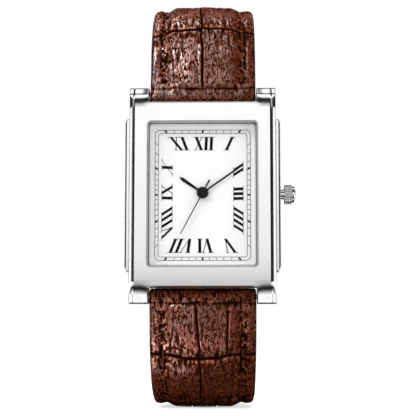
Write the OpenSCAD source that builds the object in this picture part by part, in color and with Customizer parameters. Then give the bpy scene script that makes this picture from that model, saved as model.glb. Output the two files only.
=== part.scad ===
/* [Case] */
// Width of the case over its polished side edges
case_width = 24.55; // [24.2:0.05:25.4]
// Length of the case between the two strap slots
case_length = 31.0; // [30.6:0.1:31.6]
// Thickness from the front of the case to the outer face of the case back
case_thickness = 7.2; // [7.1:0.05:7.8]
// Distance between the tips of opposite lugs
lug_to_lug = 36.4; // [36.2:0.1:37.4]
// Standard strap width that fits between the lugs
lug_space = 18.0; // [17.6:0.1:18.2]
// Width of the polished front beside the crystal
side_border = 3.275; // [3.1:0.025:3.4]
// Height of the polished front above and below the crystal
end_border = 3.5; // [3.3:0.05:3.8]
// Bevel along the two long front edges
edge_bevel = 0.55; // [0.3:0.05:0.7]
// Slope of the lugs, away from the flat front, in degrees
lug_slope = 40; // [34:1:44]
// Radius of the bend between the flat front and the lugs
lug_bend = 2.5; // [1.8:0.1:3]
// How far each side flank stands out from the case
flank_out = 0.82; // [0.5:0.05:1.1]
// Length of each side flank
flank_length = 25.7; // [22:0.1:27]
// Depth of each side flank, front to back
flank_depth = 3.9; // [3:0.1:4.2]
// Thickness of the case back plate
back_thickness = 0.8; // [0.7:0.05:0.9]

/* [Crystal and dial] */
// Thickness of the crystal
crystal_thickness = 1.2; // [1:0.05:1.25]
// Rim of the inner flange and the dial hidden under the case, on each side
flange_rim = 0.9; // [0.85:0.05:1]
// How far the inner flange slopes inwards, on each side
flange_slope = 0.235; // [0.15:0.005:0.4]
// Thickness of the dial plate
dial_thickness = 0.4; // [0.3:0.05:0.45]
// Distance from the inner flange to the railway minute track
track_inset = 0.6; // [0.4:0.05:0.8]
// Height of the printing above the dial
print_height = 0.03; // [0.02:0.01:0.06]

/* [Hands] */
// Height of the hands' axis above the case centre
axis_z = 0.3; // [0:0.05:0.4]
// Length of the hour hand as a share of the way to the minute track
hour_hand_share = 0.595; // [0.5:0.005:0.65]
// Length of the minute hand as a share of the way to the minute track
minute_hand_share = 0.985; // [0.85:0.005:1]
// Length of the seconds hand as a share of the way to the minute track
seconds_hand_share = 0.975; // [0.85:0.005:1]
// Width of the seconds hand beside the boss
seconds_hand_width = 0.2; // [0.14:0.01:0.24]
// Length of the seconds hand's tail
seconds_tail = 2.45; // [1.5:0.05:3]
// Diameter of the boss over the hands
hand_boss = 1.98; // [1.8:0.02:2.2]
// Thickness of each hand
hand_thickness = 0.1; // [0.08:0.01:0.12]
// Hour that the hands show
shown_hour = 10; // [0:1:11]
// Minute that the hands show
shown_minute = 9.15; // [0:0.05:59]
// Second that the seconds hand shows
shown_second = 34.7; // [0:0.1:59]

/* [Crown] */
// Diameter over the crown's flutes
crown_diameter = 3.3; // [3:0.05:3.8]
// Length of the fluted part of the crown
crown_length = 1.3; // [1.2:0.05:1.6]
// Height of the crown's domed end
crown_dome = 0.6; // [0.4:0.05:0.8]
// Number of flutes round the crown
crown_flutes = 20; // [16:1:24]
// Travel of the crown from running to hand setting
crown_travel = 0.8; // [0.5:0.05:0.85]
// Diameter of the winding stem
stem_diameter = 0.9; // [0.8:0.02:0.94]

/* [Movement] */
// Width of the movement
movement_width = 15.3; // [15.3:0.05:15.6]
// Height of the movement
movement_height = 17.8; // [17.8:0.05:18.1]
// Thickness of the wheels' rims
wheel_rim = 0.2; // [0.14:0.01:0.22]
// Diameter of the button cell
cell_diameter = 6.8; // [6.2:0.1:6.9]
// Height of the button cell
cell_height = 2.1; // [1.6:0.05:2.15]
// Gap between a pivot and its hole, measured on the radius
pivot_gap = 0.03; // [0.02:0.005:0.05]

/* [Strap] */
// Width of the strap where it meets the buckle
strap_end_width = 16.0; // [15:0.1:16.4]
// Thickness of the padded strap beside the case
strap_thick_case = 3.2; // [2.8:0.05:3.4]
// Thickness of the strap at the buckle
strap_thick_end = 1.9; // [1.7:0.05:2]
// Thickness of the lining leather
lining_thickness = 0.7; // [0.5:0.05:0.8]
// Width of the strap's flat border beside the raised centre
border_width = 3.4; // [2.8:0.1:4]
// Height of the raised centre above the borders
pad_rise = 0.6; // [0.3:0.05:0.8]
// Pitch of the adjusting holes
hole_pitch = 6.5; // [6:0.1:7]
// Number of adjusting holes
hole_count = 6; // [5:1:7]
// Width of each leather keeper, along the strap
keeper_width = 4.0; // [3:0.1:4.2]
// Thickness of the keepers' leather
keeper_thickness = 0.9; // [0.7:0.05:1]

/* [Buckle] */
// Diameter of the buckle's round wire
buckle_wire = 1.8; // [1.5:0.05:1.9]
// Distance from the hinge bar to the far bar
buckle_reach = 9.6; // [9.4:0.1:10.2]
// Width of the buckle tongue
tongue_width = 1.3; // [1.1:0.05:1.4]

/* [Hidden] */
$fn = 64;

steel = "silver";
brass = "goldenrod";
leather = "saddlebrown";
dark_leather = "sienna";

// Levels along Y, from the front of the case (negative) to the case back (zero)
front_y = -case_thickness;
case_rear_y = -back_thickness;
crystal_y = front_y + crystal_thickness;
ledge_depth = 0.4;
flange_depth = 0.7;
ledge_y = crystal_y + ledge_depth;
dial_y = ledge_y + flange_depth;
dial_rear_y = dial_y + dial_thickness;

// Openings in the case, from the front to the back
crystal_width = case_width - 2 * side_border;
crystal_height = case_length - 2 * end_border;
seat_gap = 0.2;
seat_width = crystal_width + 2 * seat_gap;
seat_height = crystal_height + 2 * seat_gap;
ledge_width = crystal_width - 0.2;
ledge_height = crystal_height - 0.2;
cavity_width = crystal_width + 2 * flange_rim;
cavity_height = crystal_height + 2 * flange_rim - 0.2;
dial_view_width = ledge_width - 2 * flange_slope;
dial_view_height = ledge_height - 2 * flange_slope;
track_width = dial_view_width - 2 * track_inset;
track_height = dial_view_height - 2 * track_inset;
hour_hand_length = hour_hand_share * track_width / 2;
minute_hand_length = minute_hand_share * track_width / 2;
seconds_hand_length = seconds_hand_share * track_width / 2;
fit_gap = 0.1;
cover = 0.01;

// Lugs, seen from the side as distances from the case centre
slot_z = case_length / 2;
tip_z = lug_to_lug / 2;
bend_z = slot_z - 0.25;
lug_tip_arc = 0.45;
lug_heel_arc = 0.8;
bar_y = -2.9;
bar_z = slot_z + 1.5;
bar_radius = 0.75;
tip_pin_radius = 0.45;
pin_hole_gap = 0.05;
side_gap = 0.1;

// Crown and stem share one axis along X
stem_y = -2.75;
flank_x = case_width / 2 + flank_out;
crown_x = flank_x + 0.7;
crown_end_x = crown_x + crown_length + crown_dome;
tube_radius = 0.85;
tube_bore = stem_diameter / 2 + 0.06;
crown_recess_radius = 1.2;
crown_recess_depth = 1.0;
tube_end_x = crown_x + 0.5;

// Hand and wheel levels
hour_y = dial_y - 0.2;
minute_y = hour_y - 0.22;
second_y = minute_y - 0.22;
plate_front_y = dial_rear_y;
plate_thickness = 1.1;
recess_depth = 0.6;
plate_rear_y = plate_front_y + plate_thickness;
bridge_thickness = 0.4;
bridge_y = -1.75;

// Turns a flat outline drawn as (x, z) into a plate from y0 towards +Y
module plate(y0, thickness) {
    translate([0, y0 + thickness, 0]) rotate([90, 0, 0]) linear_extrude(thickness) children();
}

// Turns an outline drawn as (y, z) into a bar along X, centred on X
module side_bar(width) {
    rotate([90, 0, 90]) linear_extrude(width, center = true) children();
}

// Round bar along Y, from y0 towards +Y, at (x, z)
module pin_y(x, z, y0, length, r) {
    translate([x, y0 + length, z]) rotate([90, 0, 0]) cylinder(h = length, r = r);
}

// Round bar along X, from x0 towards +X, at (y, z)
module pin_x(y, z, x0, length, r) {
    translate([x0, y, z]) rotate([0, 90, 0]) cylinder(h = length, r = r);
}

// Rectangle with true round corners
module rounded_rect(w, h, r) {
    square([w - 2 * r, h], center = true);
    square([w, h - 2 * r], center = true);
    for (sx = [-1, 1], sz = [-1, 1])
        translate([sx * (w / 2 - r), sz * (h / 2 - r)]) circle(r);
}

// Half of the case seen from the side: the flat front bends over an arc into a sloping lug with a rounded tip
module lug_side() {
    centre = [front_y + lug_bend, bend_z];
    slope_from = centre + lug_bend * [-cos(lug_slope), sin(lug_slope)];
    run = (tip_z - lug_tip_arc * (1 - sin(lug_slope)) - slope_from[1]) / cos(lug_slope);
    slope_to = slope_from + run * [sin(lug_slope), cos(lug_slope)];
    tip = slope_to + lug_tip_arc * [cos(lug_slope), -sin(lug_slope)];
    heel = [bar_y + 0.7, tip_z - lug_heel_arc];
    polygon([
        [front_y, -1], [front_y, bend_z], centre, slope_from, slope_to, tip, [tip[0], tip_z], [heel[0], tip_z],
        heel, [heel[0] + lug_heel_arc, heel[1]], [case_rear_y - 0.3, slot_z + 0.2], [case_rear_y, slot_z - 0.6],
        [case_rear_y, -1]
    ]);
    translate(centre) circle(lug_bend);
    translate(tip) circle(lug_tip_arc);
    translate(heel) circle(lug_heel_arc);
}
module case_side() {
    lug_side();
    mirror([0, 1]) lug_side();
}

// Half of the case seen from above: a bevelled front edge with both its corners eased, and a drawn-in back
edge_ease = 0.2;
module case_half_section() {
    half = case_width / 2;
    inset = edge_ease * tan(22.5);
    front = [half - edge_bevel - inset, front_y + edge_ease];
    flat = [half - edge_ease, front_y + edge_bevel + inset];
    polygon([
        [-1, front_y], [front[0], front_y], front, front + edge_ease * [sin(45), -cos(45)],
        flat + edge_ease * [sin(45), -cos(45)], flat, [half, flat[1]],
        [half, case_rear_y - 0.6], [half - 0.6, case_rear_y], [-1, case_rear_y]
    ]);
    translate(front) circle(edge_ease);
    translate(flat) circle(edge_ease);
}
module case_section() {
    case_half_section();
    mirror([1, 0]) case_half_section();
}

// Long strip on the side of the case, with rounded edges and bevelled ends
flank_ease = 0.32;
module flank(side) {
    half = flank_length / 2;
    deep = flank_depth / 2;
    inner = case_width / 2 - 0.1;
    mirror([side < 0 ? 1 : 0, 0, 0]) translate([0, case_rear_y - 0.8 - deep, 0]) intersection() {
        linear_extrude(flank_length, center = true) {
            polygon([
                [inner, -deep], [flank_x - flank_ease, -deep], [flank_x, flank_ease - deep],
                [flank_x, deep - flank_ease], [flank_x - flank_ease, deep], [inner, deep]
            ]);
            for (s = [-1, 1]) translate([flank_x - flank_ease, s * (deep - flank_ease)]) circle(flank_ease);
        }
        rotate([90, 0, 0]) linear_extrude(flank_depth + 1, center = true)
            polygon([
                [inner, -half], [flank_x - 0.35, -half], [flank_x, -half + 0.75],
                [flank_x, half - 0.75], [flank_x - 0.35, half], [inner, half]
            ]);
    }
}

gasket_width = 0.4;
gasket_depth = 0.32;
gasket_inset = 0.2;
groove_clearance = 0.02;
screw_x = cavity_width / 2 - 0.2;
screw_z = cavity_height / 2 + 1.15;
screw_thread = 0.4;

// Square ring set into the rear of the case round the cavity
module gasket_ring(gap) {
    inner = 2 * gasket_inset - 2 * gap;
    outer = inner + 2 * gasket_width + 4 * gap;
    plate(case_rear_y - gasket_depth - gap, gasket_depth + gap) difference() {
        rounded_rect(cavity_width + outer, cavity_height + outer, 1.2);
        rounded_rect(cavity_width + inner, cavity_height + inner, 1);
    }
}

module case_body() {
    color(steel) difference() {
        union() {
            intersection() {
                side_bar(case_width + 1) case_side();
                linear_extrude(lug_to_lug + 1, center = true) case_section();
            }
            flank(1);
            flank(-1);
        }
        plate(front_y - 1, crystal_thickness + 1) rounded_rect(seat_width, seat_height, 0.55);
        plate(front_y - 1, crystal_thickness + ledge_depth + 1.2) rounded_rect(ledge_width, ledge_height, 0.5);
        plate(ledge_y, case_thickness) rounded_rect(cavity_width, cavity_height, 0.8);
        for (side = [-1, 1]) {
            translate([0, 0, side * (slot_z + 5)]) cube([lug_space + 2 * side_gap, 30, 10], center = true);
            pin_x(bar_y, side * bar_z, -(lug_space / 2 + 1.3), lug_space + 2.6, tip_pin_radius + pin_hole_gap);
            for (sx = [-1, 1])
                pin_y(sx * screw_x, side * screw_z, case_rear_y - 1.6, 2, screw_thread);
        }
        pin_x(stem_y, axis_z, cavity_width / 2 - 1, 6, tube_radius);
        gasket_ring(groove_clearance);
    }
}

module crystal() {
    bevel = 0.12;
    color("lightcyan", 0.35) union() {
        plate(front_y + bevel, crystal_thickness - bevel) rounded_rect(crystal_width, crystal_height, 0.4);
        plate(front_y, bevel) rounded_rect(crystal_width - 2 * bevel, crystal_height - 2 * bevel, 0.35);
    }
}

module crystal_gasket() {
    color("whitesmoke") plate(front_y + 0.3, crystal_thickness - 0.3) difference() {
        rounded_rect(seat_width, seat_height, 0.55);
        rounded_rect(crystal_width, crystal_height, 0.4);
    }
}

// Sloping frame between the crystal's ledge and the dial
module inner_flange() {
    color("lightgray") difference() {
        plate(ledge_y, flange_depth) rounded_rect(cavity_width - 2 * fit_gap, cavity_height - 2 * fit_gap, 0.7);
        tapered_opening(ledge_width, dial_view_width, ledge_height, dial_view_height);
    }
}

// Four-sided tapering opening of the inner flange, as the overlap of two wedges
module tapered_opening(w0, w1, h0, h1) {
    reach = 2 * cavity_height;
    y0 = ledge_y - cover;
    y1 = ledge_y + flange_depth + cover;
    intersection() {
        linear_extrude(reach, center = true)
            polygon([[-w0 / 2, y0], [w0 / 2, y0], [w1 / 2, y1], [-w1 / 2, y1]]);
        side_bar(reach) polygon([[y0, -h0 / 2], [y1, -h1 / 2], [y1, h1 / 2], [y0, h0 / 2]]);
    }
}

foot_x = 6.2;
foot_z = 10.4;
centre_hole = 0.9;
module dial() {
    color("white") union() {
        difference() {
            plate(dial_y, dial_thickness) rounded_rect(cavity_width - 4 * fit_gap, cavity_height - 4 * fit_gap, 0.6);
            pin_y(0, axis_z, dial_y - 1, 3, centre_hole);
        }
        for (s = [-1, 1]) pin_y(s * foot_x, s * foot_z, dial_rear_y - cover, 1.2, 0.35);
    }
}

// The hands, wheels, stem and crown share this height above the case centre
module at_axis() {
    translate([0, 0, axis_z]) children();
}

// Printing on the dial: strokes are [kind, place along the row] at mid height
thick_stroke = 0.49;
thin_stroke = 0.13;
serif_height = 0.09;
serif_reach = 0.24;
top_row = [[["X", -4.47], ["I", -3.08]], [["X", -0.66], ["I", 0.58], ["I", 1.45]], [["I", 4.5]]];
right_row = [
    [["I", -4.66], ["I", -3.87]],
    [["I", -0.99], ["I", -0.19], ["I", 0.62]],
    [["I", 2.72], ["I", 3.7], ["I", 4.68], ["I", 5.66]]
];
bottom_row = [[["V", -4.3]], [["V", -0.72], ["I", 0.48]], [["V", 2.65], ["I", 3.98], ["I", 4.98]]];
left_row = [[["V", -6.1], ["I", -4.83], ["I", -3.75], ["I", -2.75]], [["I", -0.52], ["X", 0.85]], [["X", 4.66]]];
track_band = 0.56;
track_line = 0.08;
row_gap = 0.64;

function mean(v) = [for (i = v) 1] * v / len(v);

// One straight stroke between the inner and outer edge of a row, sheared by slope
module stroke(u_in, u_out, height, width) {
    h = height / 2;
    polygon([
        [u_in - width / 2, -h], [u_in + width / 2, -h], [u_out + width / 2, h], [u_out - width / 2, h]
    ]);
}

module serif(u, v, width) {
    reach = width / 2 + serif_reach;
    translate([u, v]) square([2 * reach, serif_height], center = true);
}

// One letter: an upright I, or a V or X of one thick and one thin stroke
module letter(kind, u, height, half, slope) {
    lean = slope * height / 2;
    v = height / 2 - serif_height / 2;
    translate([u, 0]) {
        if (kind == "I") {
            stroke(-lean, lean, height, thick_stroke);
            serif(lean, v, thick_stroke);
            serif(-lean, -v, thick_stroke);
        }
        if (kind == "X") {
            stroke(half - lean, lean - half, height, thick_stroke);
            stroke(-half - lean, half + lean, height, thin_stroke);
            serif(lean - half, v, thick_stroke);
            serif(half + lean, v, thin_stroke);
            serif(half - lean, -v, thick_stroke);
            serif(-half - lean, -v, thin_stroke);
        }
        if (kind == "V") {
            stroke(-lean, lean - half, height, thick_stroke);
            stroke(-lean, lean + half, height, thin_stroke);
            serif(lean - half, v, thick_stroke);
            serif(lean + half, v, thin_stroke);
        }
    }
}

// A row of three numerals along one side of the dial, heads outwards
module numeral_row(numerals, middle, height, half) {
    for (numeral = numerals) {
        centre = mean([for (l = numeral) l[1]]);
        for (l = numeral)
            translate([0, middle]) letter(l[0], l[1], height, half, 0.9 * centre / middle);
    }
}

// Railway minute track: two lines and the ticks between them
module minute_track() {
    difference() {
        rounded_rect(track_width, track_height, 0.8);
        rounded_rect(track_width - 2 * track_line, track_height - 2 * track_line, 0.72);
    }
    inner_w = track_width - 2 * track_band;
    inner_h = track_height - 2 * track_band;
    difference() {
        rounded_rect(inner_w, inner_h, 0.5);
        rounded_rect(inner_w - 2 * track_line, inner_h - 2 * track_line, 0.42);
    }
    for (minute = [0:59]) {
        a = minute * 6;
        bold = minute % 5 == 0;
        w = bold ? 0.3 : track_line;
        dx = sin(a);
        dz = cos(a);
        // Distance from the centre to the two lines along this minute's direction
        t_out = min(track_width / 2 / max(abs(dx), 0.001), track_height / 2 / max(abs(dz), 0.001));
        flat_side = track_width / 2 * abs(dz) < track_height / 2 * abs(dx);
        across = flat_side ? abs(dx) : abs(dz);
        corner = abs(t_out * dx) > track_width / 2 - 0.7 && abs(t_out * dz) > track_height / 2 - 0.7;
        if (!corner) {
            t_in = t_out - (track_band - track_line / 2) / across;
            t_end = t_out - track_line / 2 / across;
            p = [t_in * dx, t_in * dz];
            q = [t_end * dx, t_end * dz];
            side = flat_side ? [0, w / 2 / across] : [w / 2 / across, 0];
            polygon([p - side, q - side, q + side, p + side]);
        }
    }
}

module dial_print() {
    top_mid = track_height / 2 - track_band - row_gap - 1.14;
    side_mid = track_width / 2 - track_band - row_gap - 0.87;
    color("black") {
        plate(dial_y - print_height, print_height) minute_track();
        plate(dial_y - print_height, print_height) numeral_row(top_row, top_mid, 2.28, 0.5);
        plate(dial_y - print_height, print_height) rotate(-90) numeral_row(right_row, side_mid, 1.68, 0.6);
        plate(dial_y - print_height, print_height) rotate(180) numeral_row(bottom_row, top_mid - 0.15, 2.38, 0.65);
        plate(dial_y - print_height, print_height) rotate(90) numeral_row(left_row, side_mid, 1.84, 0.6);
    }
}

// Hand angles, clockwise from 12 o'clock as the wearer sees them
minute_angle = shown_minute * 6;
hour_angle = shown_hour * 30 + shown_minute / 2;
second_angle = shown_second * 6;

// Turns children clockwise from 12 o'clock about the hands' axis
module clock_turn(angle) {
    at_axis() rotate([0, angle, 0]) children();
}

seconds_arbor = 0.15;
cannon_outer = 0.42;
cannon_inner = seconds_arbor + 0.06;
hour_pipe_outer = 0.72;
hour_pipe_inner = cannon_outer + 0.06;

module hour_hand() {
    neck = 0.14;
    wide = 0.29;
    shoulder = hour_hand_length - 0.75;
    color("black") clock_turn(hour_angle) difference() {
        union() {
            plate(hour_y, hand_thickness) polygon([
                [-neck, 0], [neck, 0], [wide, shoulder], [0, hour_hand_length], [-wide, shoulder]
            ]);
            pin_y(0, 0, hour_y, hand_thickness, hand_boss / 2 - 0.06);
            pin_y(0, 0, hour_y, dial_y - hour_y, hour_pipe_outer + 0.12);
        }
        pin_y(0, 0, hour_y - 1, 3, hour_pipe_outer);
    }
}

module minute_hand() {
    half = 0.15;
    color("black") clock_turn(minute_angle) difference() {
        union() {
            plate(minute_y, hand_thickness) polygon([
                [-half, 0], [half, 0], [half * 0.9, minute_hand_length - 0.5], [0, minute_hand_length],
                [-half * 0.9, minute_hand_length - 0.5]
            ]);
            pin_y(0, 0, minute_y, hand_thickness, hand_boss / 2 - 0.03);
        }
        pin_y(0, 0, minute_y - 1, 3, cannon_outer);
    }
}

module seconds_hand() {
    half = seconds_hand_width / 2;
    tail = 1.5 * half;
    color("black") clock_turn(second_angle) difference() {
        union() {
            plate(second_y, hand_thickness) polygon([
                [-tail, -seconds_tail], [tail, -seconds_tail], [half, 0.9],
                [half * 0.75, seconds_hand_length], [-half * 0.75, seconds_hand_length], [-half, 0.9]
            ]);
            pin_y(0, 0, second_y - 0.06, hand_thickness + 0.06, hand_boss / 2);
        }
        pin_y(0, 0, second_y, hand_thickness + 1, seconds_arbor);
    }
}

// Gear outline with a tooth centred on the direction phase, drawn as (x, z)
module gear(teeth, pitch_radius, phase) {
    m = 2 * pitch_radius / teeth;
    pitch_angle = 360 / teeth;
    tip = pitch_radius + 0.85 * m;
    root = pitch_radius - 1.15 * m;
    shares = [[-0.31, root], [-0.2, pitch_radius], [-0.08, tip], [0.08, tip], [0.2, pitch_radius], [0.31, root]];
    polygon([
        for (i = [0:teeth - 1], s = shares)
            let (a = phase + (i + s[0]) * pitch_angle) [s[1] * cos(a), s[1] * sin(a)]
    ]);
}

// Wheel with spokes, cut from one plate; hub_r is the radius of its hub
module spoked_wheel(teeth, pitch_radius, phase, spokes, hub_r) {
    m = 2 * pitch_radius / teeth;
    rim = pitch_radius - 1.15 * m - 0.28;
    difference() {
        gear(teeth, pitch_radius, phase);
        difference() {
            circle(rim);
            circle(hub_r);
            for (i = [0:spokes - 1]) rotate(i * 360 / spokes) translate([rim / 2, 0]) square([rim + 0.2, 0.3], center = true);
        }
    }
}

// Tooth counts of the going train and of the motion work
pinion_teeth = 8;
third_teeth = 60;
centre_teeth = 64;
fifth_teeth = 60;
seconds_teeth = 32;
cannon_teeth = 12;
minute_teeth = 36;
minute_pinion_teeth = 10;
hour_teeth = 40;
setting_teeth = 14;

// Distances between arbors
third_distance = 3.06;
fifth_distance = 3.1;
rotor_distance = 2.38;
minute_distance = 2.4;
third_direction = 150;
fifth_direction = 80;
rotor_direction = 60;
minute_direction = -12;
function toward(a, d) = [d * cos(a), d * sin(a)];
third_at = toward(third_direction, third_distance);
fifth_at = toward(fifth_direction, fifth_distance);
rotor_at = fifth_at + toward(rotor_direction, rotor_distance);
minute_at = toward(minute_direction, minute_distance);
minute_module = 2 * minute_distance / (cannon_teeth + minute_teeth);
setting_at = minute_at + toward(0, minute_module * (minute_teeth + setting_teeth) / 2);

// Pitch radius of the first of two meshed gears that share a centre distance
function pitch_r(distance, own, other) = distance * own / (own + other);

hour_wheel_y = plate_front_y + 0.03;
minute_wheel_y = hour_wheel_y + wheel_rim + 0.05;
centre_wheel_y = plate_rear_y + 0.12;
third_wheel_y = centre_wheel_y + 0.38;
seconds_wheel_y = third_wheel_y + 0.38;
fifth_wheel_y = seconds_wheel_y + 0.37;
arbor_radius = 0.2;
pivot_radius = 0.1;

// Arbor with thin pivots that run in the main plate and in the train bridge
module arbor(at, from_y, to_y) {
    pin_y(at[0], at[1], from_y + 0.05, to_y - from_y - 0.1, arbor_radius);
    pin_y(at[0], at[1], from_y - 0.3, to_y - from_y + 0.6, pivot_radius);
}

module hour_wheel() {
    color(brass) at_axis() difference() {
        union() {
            plate(hour_wheel_y, wheel_rim)
                gear(hour_teeth, pitch_r(minute_distance, hour_teeth, minute_pinion_teeth), minute_direction);
            pin_y(0, 0, hour_y - 0.03, hour_wheel_y - hour_y + 0.1, hour_pipe_outer);
        }
        pin_y(0, 0, hour_y - 1, 4, hour_pipe_inner);
    }
}

module minute_wheel() {
    color(brass) at_axis() union() {
        translate([minute_at[0], 0, minute_at[1]]) {
            plate(minute_wheel_y, wheel_rim)
                gear(minute_teeth, pitch_r(minute_distance, minute_teeth, cannon_teeth),
                    minute_direction + 180 + 180 / minute_teeth);
            plate(hour_wheel_y, wheel_rim + 0.06)
                gear(minute_pinion_teeth, pitch_r(minute_distance, minute_pinion_teeth, hour_teeth),
                    minute_direction + 180 + 180 / minute_pinion_teeth);
        }
        pin_y(minute_at[0], minute_at[1], minute_wheel_y, 0.6, pivot_radius + 0.05);
    }
}

// Wheel on the rear of the main plate, with the cannon pinion that carries the minute hand
module centre_wheel() {
    color(brass) at_axis() difference() {
        union() {
            plate(centre_wheel_y, wheel_rim)
                spoked_wheel(centre_teeth, pitch_r(third_distance, centre_teeth, pinion_teeth), third_direction, 4, 0.9);
            plate(minute_wheel_y, wheel_rim + 0.02)
                gear(cannon_teeth, pitch_r(minute_distance, cannon_teeth, minute_teeth), minute_direction);
            pin_y(0, 0, minute_y - 0.03, centre_wheel_y - minute_y + 0.1, cannon_outer);
        }
        pin_y(0, 0, minute_y - 1, 5, cannon_inner);
    }
}

module third_wheel() {
    back = third_direction + 180;
    color(brass) at_axis() union() {
        translate([third_at[0], 0, third_at[1]]) {
            plate(third_wheel_y, wheel_rim)
                spoked_wheel(third_teeth, pitch_r(third_distance, third_teeth, pinion_teeth), back, 4, 0.7);
            plate(centre_wheel_y - 0.04, wheel_rim + 0.1)
                gear(pinion_teeth, pitch_r(third_distance, pinion_teeth, centre_teeth), back + 180 / pinion_teeth);
        }
        arbor(third_at, plate_rear_y, bridge_y);
    }
}

module seconds_wheel() {
    color(brass) at_axis() union() {
        plate(seconds_wheel_y, wheel_rim)
            gear(seconds_teeth, pitch_r(fifth_distance, seconds_teeth, pinion_teeth), fifth_direction);
        plate(third_wheel_y - 0.04, wheel_rim + 0.1)
            gear(pinion_teeth, pitch_r(third_distance, pinion_teeth, third_teeth), third_direction + 180 / pinion_teeth);
        pin_y(0, 0, third_wheel_y - 0.05, bridge_y - third_wheel_y, arbor_radius);
        pin_y(0, 0, second_y, bridge_y + bridge_thickness - 0.1 - second_y, seconds_arbor);
    }
}

module fifth_wheel() {
    back = fifth_direction + 180;
    color(brass) at_axis() union() {
        translate([fifth_at[0], 0, fifth_at[1]]) {
            plate(fifth_wheel_y, wheel_rim)
                spoked_wheel(fifth_teeth, pitch_r(rotor_distance, fifth_teeth, pinion_teeth), rotor_direction, 4, 0.6);
            plate(seconds_wheel_y - 0.04, wheel_rim + 0.1)
                gear(pinion_teeth, pitch_r(fifth_distance, pinion_teeth, seconds_teeth), back + 180 / pinion_teeth);
        }
        arbor(fifth_at, plate_rear_y, bridge_y);
    }
}

magnet_radius = 0.6;
stator_thickness = 0.5;
stator_y = plate_rear_y + 0.3;
module rotor() {
    color("dimgray") at_axis() union() {
        translate([rotor_at[0], 0, rotor_at[1]]) {
            plate(fifth_wheel_y - 0.04, wheel_rim + 0.1)
                gear(pinion_teeth, pitch_r(rotor_distance, pinion_teeth, fifth_teeth),
                    rotor_direction + 180 + 180 / pinion_teeth);
            pin_y(0, 0, stator_y - 0.1, stator_thickness + 0.3, magnet_radius);
        }
        arbor(rotor_at, plate_rear_y, bridge_y);
    }
}

// Pillars carry the train bridge, and posts carry the clip, lever and yoke
pillars = [[-6.3, 0.2], [-6.2, 3.55], [3.9, 2.9]];
pillar_radius = 0.75;
clip_post = [0.9, -5.4];
groove_x = 5.6;
lever_pivot = [groove_x + crown_travel / 2, 1.6];
yoke_pivot = [3.75, -2.3];
post_radius = 0.3;
screw_radius = 0.25;
battery_at = [-3.9, -5.2];
lever_y = stem_y + 0.55;
yoke_y = stem_y + 0.65;
block_x = 6.5;
block_length = movement_width / 2 - block_x;

module main_plate() {
    floor_y = plate_front_y - 0.01;
    color(brass) at_axis() difference() {
        union() {
            plate(plate_front_y, plate_thickness) rounded_rect(movement_width, movement_height, 1.6);
            for (p = pillars) pin_y(p[0], p[1], plate_rear_y, bridge_y - plate_rear_y, pillar_radius);
            pin_y(clip_post[0], clip_post[1], plate_rear_y, clip_y - plate_rear_y, 0.55);
            pin_y(lever_pivot[0], lever_pivot[1], plate_rear_y, lever_y - plate_rear_y, 0.45);
            pin_y(lever_pivot[0], lever_pivot[1], plate_rear_y, lever_y + 0.3 - plate_rear_y, post_radius);
            pin_y(yoke_pivot[0], yoke_pivot[1], plate_rear_y, yoke_y - plate_rear_y, 0.45);
            pin_y(yoke_pivot[0], yoke_pivot[1], plate_rear_y, yoke_y + 0.25 - plate_rear_y, post_radius);
            translate([block_x, plate_rear_y, -0.9]) cube([block_length, 1.3, 1.8]);
        }
        pin_y(0, 0, floor_y, recess_depth, pitch_r(minute_distance, hour_teeth, minute_pinion_teeth) + 0.2);
        pin_y(minute_at[0], minute_at[1], floor_y, recess_depth,
            pitch_r(minute_distance, minute_teeth, cannon_teeth) + 0.2);
        pin_y(setting_at[0], setting_at[1], floor_y, recess_depth, minute_module * setting_teeth / 2 + 0.2);
        pin_y(0, 0, floor_y, 3, cannon_outer + pivot_gap);
        for (p = [third_at, fifth_at, rotor_at]) pin_y(p[0], p[1], floor_y + 0.5, 3, pivot_radius + pivot_gap);
        pin_y(minute_at[0], minute_at[1], floor_y, 1, pivot_radius + 0.05 + pivot_gap);
        pin_y(setting_at[0], setting_at[1], floor_y, 1, pivot_radius + 0.05 + pivot_gap);
        for (p = pillars) pin_y(p[0], p[1], bridge_y - 1, 2, screw_radius + 0.02);
        pin_x(stem_y, 0, block_x - 1, 4, stem_diameter / 2 + 0.05);
    }
}

module train_bridge() {
    jewel_radius = 0.32;
    color("silver") at_axis() difference() {
        plate(bridge_y, bridge_thickness) difference() {
            polygon([
                [-7.3, -0.9], [-5.2, -0.9], [-3.6, -1.3], [1.2, -1.3], [2.4, 0.6], [4.9, 2.2], [4.9, 3.9],
                [3.2, 5.9], [0.6, 6.1], [-1.4, 4.4], [-7.2, 4.5]
            ]);
            for (p = pillars) translate(p) circle(screw_radius + 0.03);
        }
        for (p = [[0, 0], third_at, fifth_at, rotor_at]) {
            own = p == [0, 0] ? seconds_arbor : pivot_radius;
            pin_y(p[0], p[1], bridge_y - 1, 3, own + pivot_gap);
            pin_y(p[0], p[1], bridge_y + bridge_thickness - 0.12, 1, jewel_radius);
        }
    }
}

module bridge_screws() {
    head_radius = 0.5;
    head = 0.24;
    color("gray") at_axis() for (p = pillars) difference() {
        union() {
            pin_y(p[0], p[1], bridge_y - 0.7, 0.7 + bridge_thickness + 0.1, screw_radius);
            pin_y(p[0], p[1], bridge_y + bridge_thickness, head, head_radius);
        }
        translate([p[0], bridge_y + bridge_thickness + head, p[1]]) cube([2, 0.2, 0.14], center = true);
    }
}

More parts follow.
